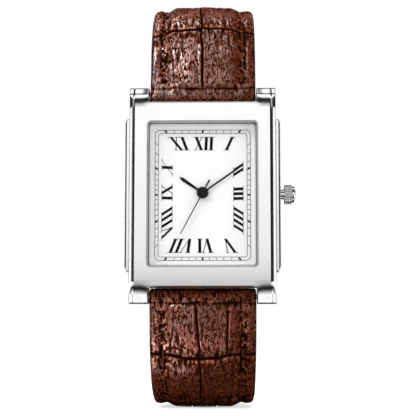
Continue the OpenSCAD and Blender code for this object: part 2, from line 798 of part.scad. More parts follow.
stator_bar_z = 5.11;
coil_z = 7.45;
coil_radius = 0.98;
coil_length = 8.6;
core_thickness = 0.4;
core_y = stator_y + stator_thickness;
module stator() {
    leg_x = 6.05;
    color("dimgray") at_axis() plate(stator_y, stator_thickness) difference() {
        union() {
            translate([0, stator_bar_z]) square([2 * leg_x + 1, 0.9], center = true);
            translate(rotor_at) circle(1.25);
            for (sx = [-1, 1]) translate([sx * leg_x, (stator_bar_z + coil_z) / 2]) {
                square([1, coil_z - stator_bar_z + 1], center = true);
            }
        }
        translate(rotor_at) circle(magnet_radius + 0.16);
        for (sx = [-1, 1]) translate([rotor_at[0] + sx * 1.1, rotor_at[1] + sx * 0.4]) circle(0.14);
    }
}

module coil() {
    color("peru") at_axis() union() {
        translate([0, core_y + core_thickness / 2, coil_z])
            cube([13, core_thickness, 0.95], center = true);
        pin_x(core_y + core_thickness / 2, coil_z, -coil_length / 2, coil_length, coil_radius);
        for (sx = [-1, 1]) translate([sx * (coil_length / 2 + 0.12), core_y + core_thickness / 2, coil_z])
            cube([0.24, 1.9, 2.1], center = true);
    }
}

board_y = -1.88;
board_thickness = 0.26;
can_radius = 0.68;
can_at = [5.7, -5.9];
can_length = 4.6;
module circuit_board() {
    color("darkgreen") at_axis() union() {
        plate(board_y, board_thickness) difference() {
            polygon([[0.2, -8.5], [6.2, -8.5], [7.3, -7.4], [7.3, -3.1], [1.4, -3.1], [0.2, -4.2]]);
            translate(clip_post) circle(0.6);
            translate(battery_at) circle(cell_diameter / 2 + 0.3);
        }
        translate([2.9, board_y - 0.25, -6.4]) cube([2, 0.52, 2], center = true);
    }
}

module quartz_can() {
    color("lightgray") at_axis() union() {
        translate([can_at[0], board_y - can_radius - 0.02, can_at[1] - can_length / 2]) cylinder(h = can_length, r = can_radius);
        for (sx = [-1, 1])
            translate([can_at[0] + sx * 0.3, board_y - 0.12, can_at[1] + can_length / 2 - 0.05])
                cylinder(h = 0.45, r = 0.1);
    }
}

cell_y = plate_rear_y + 0.02;
module battery() {
    step = 0.35;
    color("silver") at_axis() union() {
        pin_y(battery_at[0], battery_at[1], cell_y, step, cell_diameter / 2 - 0.5);
        pin_y(battery_at[0], battery_at[1], cell_y + step, cell_height - step, cell_diameter / 2);
    }
}

clip_thickness = 0.15;
clip_y = cell_y + cell_height + 0.01;
module battery_clip() {
    color("khaki") at_axis() union() {
        plate(clip_y, clip_thickness) difference() {
            union() {
                translate([(battery_at[0] + clip_post[0]) / 2, clip_post[1]])
                    square([clip_post[0] - battery_at[0] + 1.4, 1.3], center = true);
                translate(battery_at) rounded_rect(1.5, 4.6, 0.6);
            }
            translate([battery_at[0], clip_post[1] + 1.2]) circle(0.3);
        }
    }
}

// Lever whose finger stands in the stem's groove, and yoke whose finger shifts the clutch pinion
finger_radius = 0.12;
lever_finger = [groove_x, 0.36];
clutch_x = 3.4;
clutch_length = 1.0;
clutch_radius = 0.6;
clutch_groove = [clutch_x + 0.55, -0.56];

// Flat arm with a hole for its pivot post and a finger that reaches forwards
module finger_arm(pivot, finger, y0, thickness, finger_reach, r) {
    difference() {
        union() {
            plate(y0, thickness) hull() {
                translate(pivot) circle(0.55, $fn = 32);
                translate(finger) circle(r + 0.08, $fn = 32);
            }
            pin_y(finger[0], finger[1], y0 - finger_reach, finger_reach + thickness / 2, r);
        }
        pin_y(pivot[0], pivot[1], y0 - 1, 3, post_radius + pivot_gap);
    }
}

module setting_lever() {
    color("gray") at_axis() finger_arm(lever_pivot, lever_finger, lever_y + 0.01, 0.2, 0.75, finger_radius);
}

module yoke() {
    color("gray") at_axis() finger_arm(yoke_pivot, clutch_groove, yoke_y + 0.01, 0.15, 0.8, 0.1);
}

stem_square = 0.5;
stem_inner_x = clutch_x - 0.35;
stem_round_x = clutch_x + clutch_length + 0.6;
module clutch_pinion() {
    groove_width = 0.32;
    color(brass) at_axis() difference() {
        union() {
            pin_x(stem_y, 0, clutch_x + 0.12, clutch_length - 0.12, 0.42);
            pin_x(stem_y, 0, clutch_x + 0.12, 0.55 - 0.12 - groove_width / 2, clutch_radius - 0.02);
            pin_x(stem_y, 0, clutch_x + 0.55 + groove_width / 2, clutch_length - 0.55 - groove_width / 2,
                clutch_radius);
            translate([clutch_x, stem_y, 0]) rotate([90, 0, 90]) linear_extrude(0.13)
                gear(setting_teeth, clutch_radius - 0.09, 0);
        }
        translate([clutch_x, stem_y, 0]) cube([4, stem_square + 0.1, stem_square + 0.1], center = true);
    }
}

module setting_wheel() {
    color(brass) at_axis() union() {
        translate([setting_at[0], 0, setting_at[1]])
            plate(minute_wheel_y, wheel_rim)
                gear(setting_teeth, minute_module * setting_teeth / 2, 180 + 180 / setting_teeth);
        pin_y(setting_at[0], setting_at[1], minute_wheel_y, 0.6, pivot_radius + 0.05);
    }
}

module stem() {
    r = stem_diameter / 2;
    color("gray") at_axis() difference() {
        union() {
            translate([stem_inner_x, stem_y - stem_square / 2, -stem_square / 2])
                cube([stem_round_x - stem_inner_x + 0.1, stem_square, stem_square]);
            pin_x(stem_y, 0, stem_round_x, crown_x + crown_recess_depth + 0.2 - stem_round_x, r);
        }
        difference() {
            pin_x(stem_y, 0, groove_x - 0.25, 0.5, 2 * r);
            pin_x(stem_y, 0, groove_x - 1, 2, 0.2);
        }
    }
}

module crown() {
    r = crown_diameter / 2;
    flute = PI * r / crown_flutes * 0.78;
    color(steel) at_axis() translate([crown_x, stem_y, 0]) rotate([0, 90, 0]) difference() {
        union() {
            cylinder(h = crown_length, r = r - flute * 0.55);
            for (i = [0:crown_flutes - 1]) rotate(i * 360 / crown_flutes)
                translate([r - flute, 0, 0.04]) cylinder(h = crown_length - 0.08, r = flute);
            rotate_extrude() polygon([
                [0, crown_length - 0.1], [r * 0.84, crown_length - 0.1], [r * 0.84, crown_length + crown_dome * 0.55],
                [r * 0.72, crown_length + crown_dome * 0.85], [r * 0.4, crown_length + crown_dome * 0.97],
                [0, crown_length + crown_dome]
            ]);
        }
        translate([0, 0, -1]) cylinder(h = 1 + crown_recess_depth, r = crown_recess_radius);
        cylinder(h = crown_recess_depth + 0.2, r = stem_diameter / 2);
    }
}

gasket_run = 0.03;
module crown_gasket() {
    color("black") at_axis() difference() {
        pin_x(stem_y, 0, crown_x + 0.12, 0.3, crown_recess_radius - gasket_run);
        pin_x(stem_y, 0, crown_x - 1, 3, tube_radius + gasket_run);
    }
}

module crown_tube() {
    start = cavity_width / 2 + 0.05;
    color(steel) at_axis() difference() {
        pin_x(stem_y, 0, start, tube_end_x - start, tube_radius);
        pin_x(stem_y, 0, start - 1, 8, tube_bore);
    }
}

module movement_holder() {
    gap = 0.1;
    color("ivory") difference() {
        plate(dial_rear_y, case_rear_y - 0.3 - dial_rear_y) difference() {
            rounded_rect(cavity_width - 2 * fit_gap, cavity_height - 2 * fit_gap, 0.7);
            translate([0, axis_z]) rounded_rect(movement_width + 2 * gap, movement_height + 2 * gap, 1.65);
        }
        at_axis() pin_x(stem_y, 0, movement_width / 2 - 1, (cavity_width - movement_width) / 2 + 1.8, tube_radius + 0.1);
        for (s = [-1, 1]) pin_y(s * foot_x, s * foot_z, dial_rear_y - 1, 3, 0.4);
    }
}

back_width = case_width - 2.2;
back_height = case_length - 1.4;
head_radius = 0.72;
head_depth = 0.4;
module case_back() {
    bevel = 0.3;
    color(steel) difference() {
        union() {
            plate(case_rear_y, back_thickness - bevel) rounded_rect(back_width, back_height, 1.4);
            plate(-bevel, bevel / 2) rounded_rect(back_width - bevel, back_height - bevel, 1.3);
            plate(-bevel / 2, bevel / 2) rounded_rect(back_width - 2 * bevel, back_height - 2 * bevel, 1.2);
            plate(case_rear_y - 0.2, 0.2 + cover)
                rounded_rect(cavity_width - 2 * fit_gap, cavity_height - 2 * fit_gap, 0.7);
        }
        for (sx = [-1, 1], sz = [-1, 1]) {
            pin_y(sx * screw_x, sz * screw_z, -back_thickness - 1, 3, screw_thread + 0.05);
            pin_y(sx * screw_x, sz * screw_z, -head_depth, 1, head_radius + 0.05);
        }
    }
}

module case_back_gasket() {
    color("black") gasket_ring(0);
}

module case_back_screws() {
    color("gray") for (sx = [-1, 1], sz = [-1, 1]) difference() {
        union() {
            pin_y(sx * screw_x, sz * screw_z, case_rear_y - 1.4, 1.5 + back_thickness - head_depth, screw_thread - 0.02);
            pin_y(sx * screw_x, sz * screw_z, -head_depth, head_depth - 0.06, head_radius);
        }
        translate([sx * screw_x, -0.06, sz * screw_z]) cube([2, 0.36, 0.22], center = true);
    }
}

// Spring bar: a tube between the lugs with a sprung tip at each end
tube_wall = 0.2;
tip_reach = 1.05;
tube_length = lug_space - 0.4;
module spring_bar(side) {
    color("gray") difference() {
        pin_x(bar_y, side * bar_z, -tube_length / 2, tube_length, bar_radius);
        pin_x(bar_y, side * bar_z, -tube_length, 2 * tube_length, tip_pin_radius + 0.05);
    }
}
module upper_spring_bar() { spring_bar(1); }
module lower_spring_bar() { spring_bar(-1); }

// Sprung tip: its pin stands in the lug's blind hole and its shank runs in the tube
module bar_tip(side, end) {
    inner = tube_length / 2 - 3;
    color("gray") mirror([end < 0 ? 1 : 0, 0, 0])
        pin_x(bar_y, side * bar_z, inner, lug_space / 2 + tip_reach - inner, tip_pin_radius);
}
module upper_left_tip() { bar_tip(1, -1); }
module upper_right_tip() { bar_tip(1, 1); }
module lower_left_tip() { bar_tip(-1, -1); }
module lower_right_tip() { bar_tip(-1, 1); }

// Strap loop seen from the side: distances run from each spring bar round to the buckle
tilt = 5;
lead_length = 7;
shoulder_radius = 11.5;
back_radius = 20.6;
lead_end = [bar_y + lead_length * sin(tilt), bar_z + lead_length * cos(tilt)];
shoulder_centre = lead_end + shoulder_radius * [cos(tilt), -sin(tilt)];
top_point = shoulder_centre + [0, shoulder_radius];
back_centre = top_point - [0, back_radius];
shoulder_start = lead_length;
back_start = shoulder_start + shoulder_radius * (90 - tilt) * PI / 180;
run_start = back_start + back_radius * PI / 2;
run_y = back_centre[0] + back_radius;
run_z = back_centre[1];
hinge_z = -3.3;
upper_length = run_start + run_z - hinge_z;
tail_shift = strap_thick_end + 0.3;
cross_from = -14.5;
cross_to = -4.2;
tail_end_s = 106;

// Point and heading of the loop at distance s; heading 0 is up, 90 is backwards
function loop_at(s) =
    s < shoulder_start ? [bar_y + s * sin(tilt), bar_z + s * cos(tilt), tilt] :
    s < back_start ? let (a = tilt + (s - shoulder_start) / shoulder_radius * 180 / PI)
        [shoulder_centre[0] - shoulder_radius * cos(a), shoulder_centre[1] + shoulder_radius * sin(a), a] :
    s < run_start ? let (a = 90 + (s - back_start) / back_radius * 180 / PI)
        [back_centre[0] - back_radius * cos(a), back_centre[1] + back_radius * sin(a), a] :
    [run_y, run_z - (s - run_start), 180];

function smooth(t) = let (c = min(1, max(0, t))) c * c * (3 - 2 * c);

// The long strap follows the mirrored loop, crosses the buckle and lies over the short strap
function tail_at(s) =
    s < run_start ? let (p = loop_at(s)) [p[0], -p[1]] :
    let (z = s - run_start - run_z, y = run_y + tail_shift * smooth((z - cross_from) / (cross_to - cross_from)))
    z < run_z ? [y, z] :
    let (r = back_radius + tail_shift, a = (z - run_z) / r * 180 / PI)
        [back_centre[0] + r * cos(a), back_centre[1] + r * sin(a)];

function centre_line(s, side) = side > 0 ? [loop_at(s)[0], loop_at(s)[1]] : tail_at(s);
function outward(s, side) =
    let (e = 0.05, d = centre_line(s + e, side) - centre_line(s - e, side), n = norm(d))
    side > 0 ? [-d[1] / n, d[0] / n] : [d[1] / n, -d[0] / n];

// Width and thickness along the strap
bar_loop_radius = bar_z - slot_z - 0.08;
pad_end = 58;
function strap_width(s) =
    let (w = lug_space - 0.1 - (lug_space - 0.1 - strap_end_width) * smooth(s / 70),
        tip = (s - (tail_end_s - w * 0.62)) / (w * 0.62))
    tip > 0 ? w * sqrt(1 - tip * tip * 0.84) : w;
function strap_thickness(s) =
    s < 3 ? 2 * bar_loop_radius + (strap_thick_case - 2 * bar_loop_radius) * smooth(s / 3) :
    strap_thick_case + (strap_thick_end - strap_thick_case) * smooth((s - 3) / (pad_end - 3));
function rise_at(s) = pad_rise * (1 - smooth((s - pad_end + 16) / 16));

// Sections as [across, outward] points, anticlockwise
cover_leather = 0.75;
function leather_section(w, t, rise) =
    let (h = w / 2, top = t / 2, side = top - rise, base = lining_thickness - top,
        pad = max(h - border_width, 0.4 * h), core = max(0.05, t - lining_thickness - cover_leather), c = pad - 0.2)
    [
        [h, base], [h, side - 0.3], [h - 0.3, side - 0.04], [h - 0.9, side], [pad + 0.35, side - 0.02],
        [pad - 0.2, top - rise * 0.35], [pad - 1, top - rise * 0.08], [0, top], [1 - pad, top - rise * 0.08],
        [0.2 - pad, top - rise * 0.35], [-pad - 0.35, side - 0.02], [0.9 - h, side], [0.3 - h, side - 0.04],
        [-h, side - 0.3], [-h, base], [-c, base], [-c, base + core], [c, base + core], [c, base]
    ];
function lining_section(w, t) =
    let (h = w / 2 - 0.05, top = t / 2)
    [[h, -top], [h, lining_thickness - top], [-h, lining_thickness - top], [-h, -top]];
function padding_section(w, t) =
    let (c = w / 2 - border_width - 0.22, base = lining_thickness - t / 2,
        core = max(0.05, t - lining_thickness - cover_leather) - 0.02)
    [[c, base], [c, base + core], [-c, base + core], [-c, base]];

// End cap of the leather section, as fans about the two inner corners of its channel
leather_cap = concat(
    [[17, 18, 0]], [for (i = [0:6]) [17, i, i + 1]], [[16, 17, 7]], [for (i = [7:14]) [16, i, i + 1]]
);

// Closed solid through a list of rings that each hold the same number of points
module skin(rings, cap = [[0, 1, 2, 3]]) {
    n = len(rings[0]);
    m = len(rings);
    last = (m - 1) * n;
    polyhedron(
        points = [for (r = rings) each r],
        faces = concat(
            cap,
            [for (j = [0:m - 2], i = [0:n - 1]) let (k = (i + 1) % n)
                each [[j * n + i, (j + 1) * n + i, (j + 1) * n + k], [j * n + i, (j + 1) * n + k, j * n + k]]],
            [for (f = cap) [for (i = [len(f) - 1:-1:0]) last + f[i]]]
        )
    );
}

function ring_at(s, side, section) =
    let (p = centre_line(s, side), n = outward(s, side))
    [for (q = section) [side * q[0], p[0] + q[1] * n[0], p[1] + q[1] * n[1]]];

ring_step = 2;
function stations(from, to) =
    let (count = ceil((to - from) / ring_step)) [for (i = [0:count]) from + (to - from) * i / count];

// The strap's layers start behind the rolled end that turns round the spring bar
roll_reach = 2.2;
module strap_leather(side, to) {
    skin([for (s = stations(roll_reach, to))
        ring_at(s, side, leather_section(strap_width(s), strap_thickness(s), rise_at(s)))], leather_cap);
}
module strap_lining(side, to) {
    skin([for (s = stations(roll_reach, to))
        ring_at(s, side, lining_section(strap_width(s), strap_thickness(s)))]);
}
module strap_padding(side, to) {
    skin([for (s = stations(roll_reach, to))
        ring_at(s, side, padding_section(strap_width(s), strap_thickness(s)))]);
}

// Leather rolled round the spring bar
module rolled_end(side) {
    color(leather) mirror([0, 0, side < 0 ? 1 : 0]) translate([0, bar_y, bar_z]) rotate([-tilt, 0, 0])
        side_bar(lug_space - 0.1) difference() {
            union() {
                circle(bar_loop_radius);
                translate([-bar_loop_radius, 0]) square([2 * bar_loop_radius, roll_reach - 0.02]);
            }
            circle(bar_radius + 0.04);
        }
}
module upper_rolled_end() { rolled_end(1); }
module lower_rolled_end() { rolled_end(-1); }

hinge_radius = 0.55;
end_loop_radius = 1.15;
end_loop_reach = 1.7;
notch_width = tongue_width + 0.5;
leather_end = upper_length - end_loop_reach;

// Leather loop that holds the buckle's hinge bar, with a notch for the tongue
module buckle_loop() {
    half = strap_thick_end / 2;
    color(leather) translate([0, run_y, hinge_z]) difference() {
        side_bar(strap_width(upper_length)) difference() {
            union() {
                circle(end_loop_radius);
                translate([-half, 0]) square([2 * half, end_loop_reach - 0.02]);
            }
            circle(hinge_radius + 0.04);
        }
        translate([0, 0, -1.2]) cube([notch_width, 6, 5], center = true);
    }
}
module upper_strap_leather() { color(leather) strap_leather(1, leather_end); }
module upper_strap_padding() { color("tan") strap_padding(1, pad_end); }
module upper_strap_lining() { color(dark_leather) strap_lining(1, leather_end); }

// Oval adjusting holes, square to the strap; the tongue stands in the third from the buckle end
hole_width = 1.8;
hole_long = 3.2;
engaged_s = run_start + run_z - 5.55;
first_hole = -2;
module strap_holes() {
    for (i = [0:hole_count - 1]) {
        s = engaged_s + (first_hole + i) * hole_pitch;
        p = centre_line(s, -1);
        n = outward(s, -1);
        translate([0, p[0], p[1]]) rotate([atan2(-n[0], n[1]), 0, 0]) {
            cylinder(h = 6, r = hole_width / 2, center = true);
            for (e = [-1, 1]) translate([0, e * (hole_long - hole_width) / 2, 0])
                cylinder(h = 6, r = hole_width / 2, center = true);
            cube([hole_width, hole_long - hole_width, 6], center = true);
        }
    }
}
module lower_strap_leather() {
    color(leather) difference() {
        strap_leather(-1, tail_end_s);
        strap_holes();
    }
}
module lower_strap_padding() { color("tan") strap_padding(-1, pad_end - 6); }
module lower_strap_lining() {
    color(dark_leather) difference() {
        strap_lining(-1, tail_end_s);
        strap_holes();
    }
}

// Leather bands round both straps on the straight run behind the wrist
keeper_gap = 0.12;
fixed_keeper_z = 1;
sliding_keeper_z = 7;
module keeper(z0) {
    inner_y = run_y - strap_thick_end / 2 - keeper_gap;
    outer_y = run_y + tail_shift + strap_thick_end / 2 + keeper_gap;
    w = strap_width(upper_length - 14) + 2 * keeper_gap;
    h = outer_y - inner_y;
    k = keeper_thickness;
    translate([0, (inner_y + outer_y) / 2, z0]) linear_extrude(keeper_width) difference() {
        rounded_rect(w + 2 * k, h + 2 * k, 1.2);
        rounded_rect(w, h, 0.4);
    }
}
module fixed_keeper() { color(dark_leather) keeper(fixed_keeper_z); }
module sliding_keeper() { color(dark_leather) keeper(sliding_keeper_z); }

// Buckle: a round-wire frame whose far bar lies over the long strap
arm_x = strap_end_width / 2 + 0.35 + buckle_wire / 2;
far_bar_s = run_start + run_z + hinge_z - buckle_reach + 0.1;
far_y = centre_line(far_bar_s, -1)[0] + strap_thick_end / 2 + buckle_wire / 2 + 0.12;
frame_lean = asin((far_y - run_y) / buckle_reach);
module buckle_frame() {
    r = buckle_wire / 2;
    corner = 1.6;
    color(steel) translate([0, run_y, hinge_z]) rotate([180 + frame_lean, 0, 0]) difference() {
        union() {
            for (sx = [-1, 1]) {
                translate([sx * arm_x, 0, 0]) cylinder(h = buckle_reach - corner, r = r);
                translate([sx * arm_x, 0, 0]) rotate([0, 90, 0])
                    cylinder(h = buckle_wire, r = r + 0.15, center = true);
                translate([sx * (arm_x - corner), 0, buckle_reach - corner]) rotate([90, 0, 0])
                    rotate([0, 0, sx > 0 ? 0 : 90]) rotate_extrude(angle = 90) translate([corner, 0]) circle(r);
            }
            translate([corner - arm_x, 0, buckle_reach]) rotate([0, 90, 0])
                cylinder(h = 2 * (arm_x - corner), r = r);
        }
        translate([-arm_x - 2, 0, 0]) rotate([0, 90, 0]) cylinder(h = 2 * arm_x + 4, r = bar_end_radius + 0.05);
    }
}

bar_end_radius = 0.4;
module buckle_bar() {
    color("gray") union() {
        pin_x(run_y, hinge_z, 0.05 - strap_end_width / 2, strap_end_width - 0.1, hinge_radius);
        pin_x(run_y, hinge_z, -arm_x - 0.75, 2 * arm_x + 1.5, bar_end_radius);
    }
}

// Tongue: loops round the hinge bar, rises through the hole and lies on the far bar
tongue_thickness = 0.9;
over_y = far_y - run_y + buckle_wire / 2 + tongue_thickness / 2 + 0.05;
tongue_line = [
    [0.35, -0.75], [0.85, -1.3], [2.0, -2.05], [3.2, -2.75], [over_y + 0.3, -4.4], [over_y + 0.32, -7],
    [over_y + 0.05, -9.4], [over_y - 0.25, -10.6]
];
function side_of(line, i, d) =
    let (a = line[max(0, i - 1)], b = line[min(len(line) - 1, i + 1)], v = b - a, n = norm(v))
    line[i] + d * [-v[1], v[0]] / n;
module buckle_tongue() {
    n = len(tongue_line);
    half = tongue_thickness / 2;
    color(steel) translate([0, run_y, hinge_z]) difference() {
        union() {
            side_bar(tongue_width) polygon(concat(
                [for (i = [0:n - 1]) side_of(tongue_line, i, half)],
                [for (i = [n - 1:-1:0]) side_of(tongue_line, i, -half)]
            ));
            rotate([0, 90, 0]) cylinder(h = tongue_width, r = hinge_radius + 0.55, center = true);
        }
        rotate([0, 90, 0]) cylinder(h = 20, r = hinge_radius + 0.04, center = true);
    }
}

case_body();
crystal();
crystal_gasket();
inner_flange();
dial();
dial_print();
hour_hand();
minute_hand();
seconds_hand();
movement_holder();
main_plate();
train_bridge();
bridge_screws();
hour_wheel();
minute_wheel();
centre_wheel();
third_wheel();
seconds_wheel();
fifth_wheel();
rotor();
stator();
coil();
circuit_board();
quartz_can();
battery();
battery_clip();
setting_lever();
yoke();
clutch_pinion();
setting_wheel();
stem();
crown();
crown_gasket();
crown_tube();
case_back();
case_back_gasket();
case_back_screws();
upper_spring_bar();
lower_spring_bar();
upper_left_tip();
upper_right_tip();
lower_left_tip();
lower_right_tip();
upper_rolled_end();
upper_strap_leather();
upper_strap_padding();
upper_strap_lining();
buckle_loop();
lower_rolled_end();
lower_strap_leather();
lower_strap_padding();
lower_strap_lining();
fixed_keeper();
sliding_keeper();
buckle_frame();
buckle_tongue();
buckle_bar();
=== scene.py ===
"""Dresses the wristwatch: steel, crystal, dial, hands, crocodile-embossed strap, buckle and a white studio."""

import math

import bpy
import numpy as np
from bpy.props import FloatProperty, FloatVectorProperty, IntProperty, PointerProperty
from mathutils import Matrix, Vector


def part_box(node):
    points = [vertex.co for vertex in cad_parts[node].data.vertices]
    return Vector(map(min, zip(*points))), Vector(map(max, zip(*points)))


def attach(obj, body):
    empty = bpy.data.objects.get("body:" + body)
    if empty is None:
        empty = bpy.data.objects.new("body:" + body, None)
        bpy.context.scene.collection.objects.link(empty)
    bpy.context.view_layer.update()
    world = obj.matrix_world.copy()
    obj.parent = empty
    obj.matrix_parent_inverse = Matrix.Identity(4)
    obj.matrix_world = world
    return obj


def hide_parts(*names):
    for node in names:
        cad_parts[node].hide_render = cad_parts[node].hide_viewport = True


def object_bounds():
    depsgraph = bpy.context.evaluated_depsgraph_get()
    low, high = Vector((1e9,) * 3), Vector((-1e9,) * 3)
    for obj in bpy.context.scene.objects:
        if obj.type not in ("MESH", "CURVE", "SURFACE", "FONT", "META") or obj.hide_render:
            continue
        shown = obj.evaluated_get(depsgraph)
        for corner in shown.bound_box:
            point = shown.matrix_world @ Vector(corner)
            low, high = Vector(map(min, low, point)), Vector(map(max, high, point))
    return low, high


bl_info = {
    "name": "Strap Watch Dresser",
    "version": (1, 0, 0),
    "blender": (4, 5, 0),
    "location": "View3D > Sidebar > Watch",
    "description": "Surfaces, finishes and studio for a rectangular wristwatch on a padded strap",
    "category": "Object",
}

MM = 0.001
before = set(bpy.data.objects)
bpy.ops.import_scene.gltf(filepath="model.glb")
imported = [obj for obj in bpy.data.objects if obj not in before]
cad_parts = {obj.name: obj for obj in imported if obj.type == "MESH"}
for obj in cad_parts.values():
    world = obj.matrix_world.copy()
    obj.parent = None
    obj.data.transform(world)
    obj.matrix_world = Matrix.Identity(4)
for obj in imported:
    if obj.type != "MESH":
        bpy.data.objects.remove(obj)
CAD_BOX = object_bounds()


def node_mm(name):
    """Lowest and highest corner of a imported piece, in millimetres."""
    low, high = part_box(name)
    return np.array(low) / MM, np.array(high) / MM


def mesh_points(mesh):
    """Vertices of a mesh as an array of points by 3."""
    co = np.empty(len(mesh.vertices) * 3)
    mesh.vertices.foreach_get("co", co)
    return co.reshape(-1, 3)


BAR_LOW, BAR_HIGH = node_mm("upper_spring_bar")
ROLL_LOW, ROLL_HIGH = node_mm("upper_rolled_end")
LOOP_LOW, LOOP_HIGH = node_mm("buckle_loop")
HINGE_LOW, HINGE_HIGH = node_mm("buckle_bar")
FLOOR_MM = CAD_BOX[0][2] / MM


def face_half_width():
    """Half the width of the case's flat front, in metres: the widest of its foremost points."""
    co = mesh_points(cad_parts["case_body"].data)
    return float(np.abs(co[co[:, 1] < co[:, 1].min() + 0.00001, 0]).max())


FACE_HALF = face_half_width()

# The photo's camera: focal length and picture side in pixels, sensor in millimetres, place in metres and turns
FOCAL_PX, PICTURE_PX, SENSOR = 1175.4, 416, 36.0
CAMERA_AT = (0.00386, -0.20095, -0.0247)
CAMERA_TURN = (math.pi / 2 + 0.11423, 0.0, 0.01516)

# The case front's soft falls, in metres: width and depth along its edges; span of height, depth and inner side of
# the one before the lugs
CROWN_WIDTH, CROWN_DROP = 0.0004, 0.00011
LUG_FALL, LUG_DROP = (0.0144, 0.0172), 0.0003
STRAP_EDGE = (0.0084, 0.0104)


def length_setting(name, text, default):
    """Setting in the panel for a length in millimetres."""
    return FloatProperty(name=name, description=text, default=default)


def colour_setting(name, text, default):
    """Setting in the panel for a colour, as linear light."""
    return FloatVectorProperty(name=name, description=text, subtype="COLOR", default=default)


class WatchSizes(bpy.types.PropertyGroup):
    """Sizes of the strap's surface, in millimetres, and its number of points across."""

    pad_rise: length_setting("Pad rise", "Raised centre above the borders", 0.56)
    groove_depth: length_setting("Groove depth", "Depth of the creases between scales", 0.3)
    wrinkle_depth: length_setting("Wrinkle depth", "Height of the fine wrinkles", 0.045)
    stitch_line: length_setting("Stitch line", "Stitches' distance from the middle", 6.75)
    stitch_pitch: length_setting("Stitch pitch", "Length from one stitch to the next", 1.9)
    thread: length_setting("Thread radius", "Radius of the sewing thread", 0.17)
    columns: IntProperty(name="Columns", description="Points across the strap's face", default=172)


class WatchColours(bpy.types.PropertyGroup):
    """Colours of the main finishes, as linear light."""

    leather_deep: colour_setting("Leather", "Body of the scales", (0.082, 0.0155, 0.0055))
    leather_warm: colour_setting("Leather lips", "Raised edges of the scales", (0.3, 0.06, 0.013))
    # Crease colour: partly the hide's dark grooves, partly painted shade, and the rolled ends' painted shadows
    leather_crease_and_shade: colour_setting("Leather creases", "Bottom of the creases", (0.0035, 0.0016, 0.001))
    lining: colour_setting("Lining", "Inner leather", (0.16, 0.07, 0.035))
    steel: colour_setting("Steel", "Polished steel", (0.93, 0.93, 0.93))
    dial: colour_setting("Dial", "Dial lacquer", (0.93, 0.93, 0.93))


def sizes():
    """The strap's sizes, as set in the panel."""
    return bpy.context.scene.watch_sizes


def colours():
    """The finishes' colours, as set in the panel."""
    return bpy.context.scene.watch_colours


# Strap path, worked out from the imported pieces' boxes and the turns of the loop

TILT = math.radians(5)
LEAD = 7.0
SHOULDER_R = 11.5
BACK_R = 20.6
THICK_CASE = 3.2
THICK_END = 1.9
LINING = 0.7
CROSS_FROM, CROSS_TO = -14.5, -4.2
BAR = np.array([(BAR_LOW[1] + BAR_HIGH[1]) / 2, (BAR_LOW[2] + BAR_HIGH[2]) / 2])
LEAD_END = BAR + LEAD * np.array([math.sin(TILT), math.cos(TILT)])
SHOULDER_C = LEAD_END + SHOULDER_R * np.array([math.cos(TILT), -math.sin(TILT)])
BACK_C = SHOULDER_C + np.array([0.0, SHOULDER_R - BACK_R])
BACK_START = LEAD + SHOULDER_R * (math.pi / 2 - TILT)
RUN_START = BACK_START + BACK_R * math.pi / 2
RUN_Y = BACK_C[0] + BACK_R
RUN_Z = BACK_C[1]
HINGE_Z = (HINGE_LOW[2] + HINGE_HIGH[2]) / 2
TAIL_SHIFT = THICK_END + 0.3
UPPER_END = RUN_START + RUN_Z - HINGE_Z - 1.7
TAIL_END = 106.0
FULL_WIDTH = ROLL_HIGH[0] - ROLL_LOW[0]
END_WIDTH = LOOP_HIGH[0] - LOOP_LOW[0]

# Strap cover in millimetres: the pad's end, fade, border and slope, and its crown's square and straight shares; the
# rounds of the edges, the front and the end; where the long strap's relief sinks and by how much; the grid's fine
# part and its two steps; the first stitch; the roll's radius and legs; the adjusting holes and the one that is
# fastened; half the notch for the tongue
PAD_END, PAD_FADE, PAD_BORDER, PAD_SLOPE = 58.0, 16.0, 3.1, 1.9
PAD_CROWN = (0.3, 0.12)
EDGE_ROUND, FRONT_ROUND, END_ROUND = 0.55, 0.7, 0.5
THIN_FROM, THIN_RELIEF = 48.0, 0.18
FINE_END, FINE_STEP, COARSE_STEP = 25.0, 0.13, 0.34
FIRST_STITCH = 3.6
ROLL_R, ROLL_LEG = 1.42, 2.15
HOLES, FASTENED, HOLE_PITCH, HOLE_DOWN = 6, 2, 6.5, 5.55
NOTCH_HALF = 0.92


def smooth(t):
    """Smooth step: three t squared minus two t cubed, held between 0 and 1."""
    c = np.clip(t, 0, 1)
    return c * c * (3 - 2 * c)


def bump(d, w):
    """Bell of height 1 and half width w around 0."""
    return np.exp(-((d / w) ** 2))


def round_drop(over, share=0.99):
    """Drop of a quarter circle: 0 where over is 0, and nearly 1 where it is 1."""
    return 1 - np.sqrt(1 - share * over ** 2)


def lengths(path):
    """Length along a row of points, from 0 at the first."""
    return np.concatenate([[0], np.cumsum(np.linalg.norm(np.diff(path, axis=0), axis=1))])


def tangents(path):
    """Directions along a closed path of points in a plane."""
    d = np.roll(path, -1, 0) - np.roll(path, 1, 0)
    return d / np.linalg.norm(d, axis=1, keepdims=True)


def loop_at(s):
    """Short strap's middle line: a straight lead, a tight arc over the top, a wide arc and a straight run down."""
    a1 = TILT + (s - LEAD) / SHOULDER_R
    a2 = math.pi / 2 + (s - BACK_START) / BACK_R
    lead = [BAR[0] + s * math.sin(TILT), BAR[1] + s * math.cos(TILT)]
    arc = [SHOULDER_C[0] - SHOULDER_R * np.cos(a1), SHOULDER_C[1] + SHOULDER_R * np.sin(a1)]
    back = [BACK_C[0] - BACK_R * np.cos(a2), BACK_C[1] + BACK_R * np.sin(a2)]
    run = [RUN_Y + 0 * s, RUN_Z - (s - RUN_START)]
    parts = [s < LEAD, s < BACK_START, s < RUN_START]
    return np.stack([np.select(parts, [lead[i], arc[i], back[i]], run[i]) for i in (0, 1)], -1)


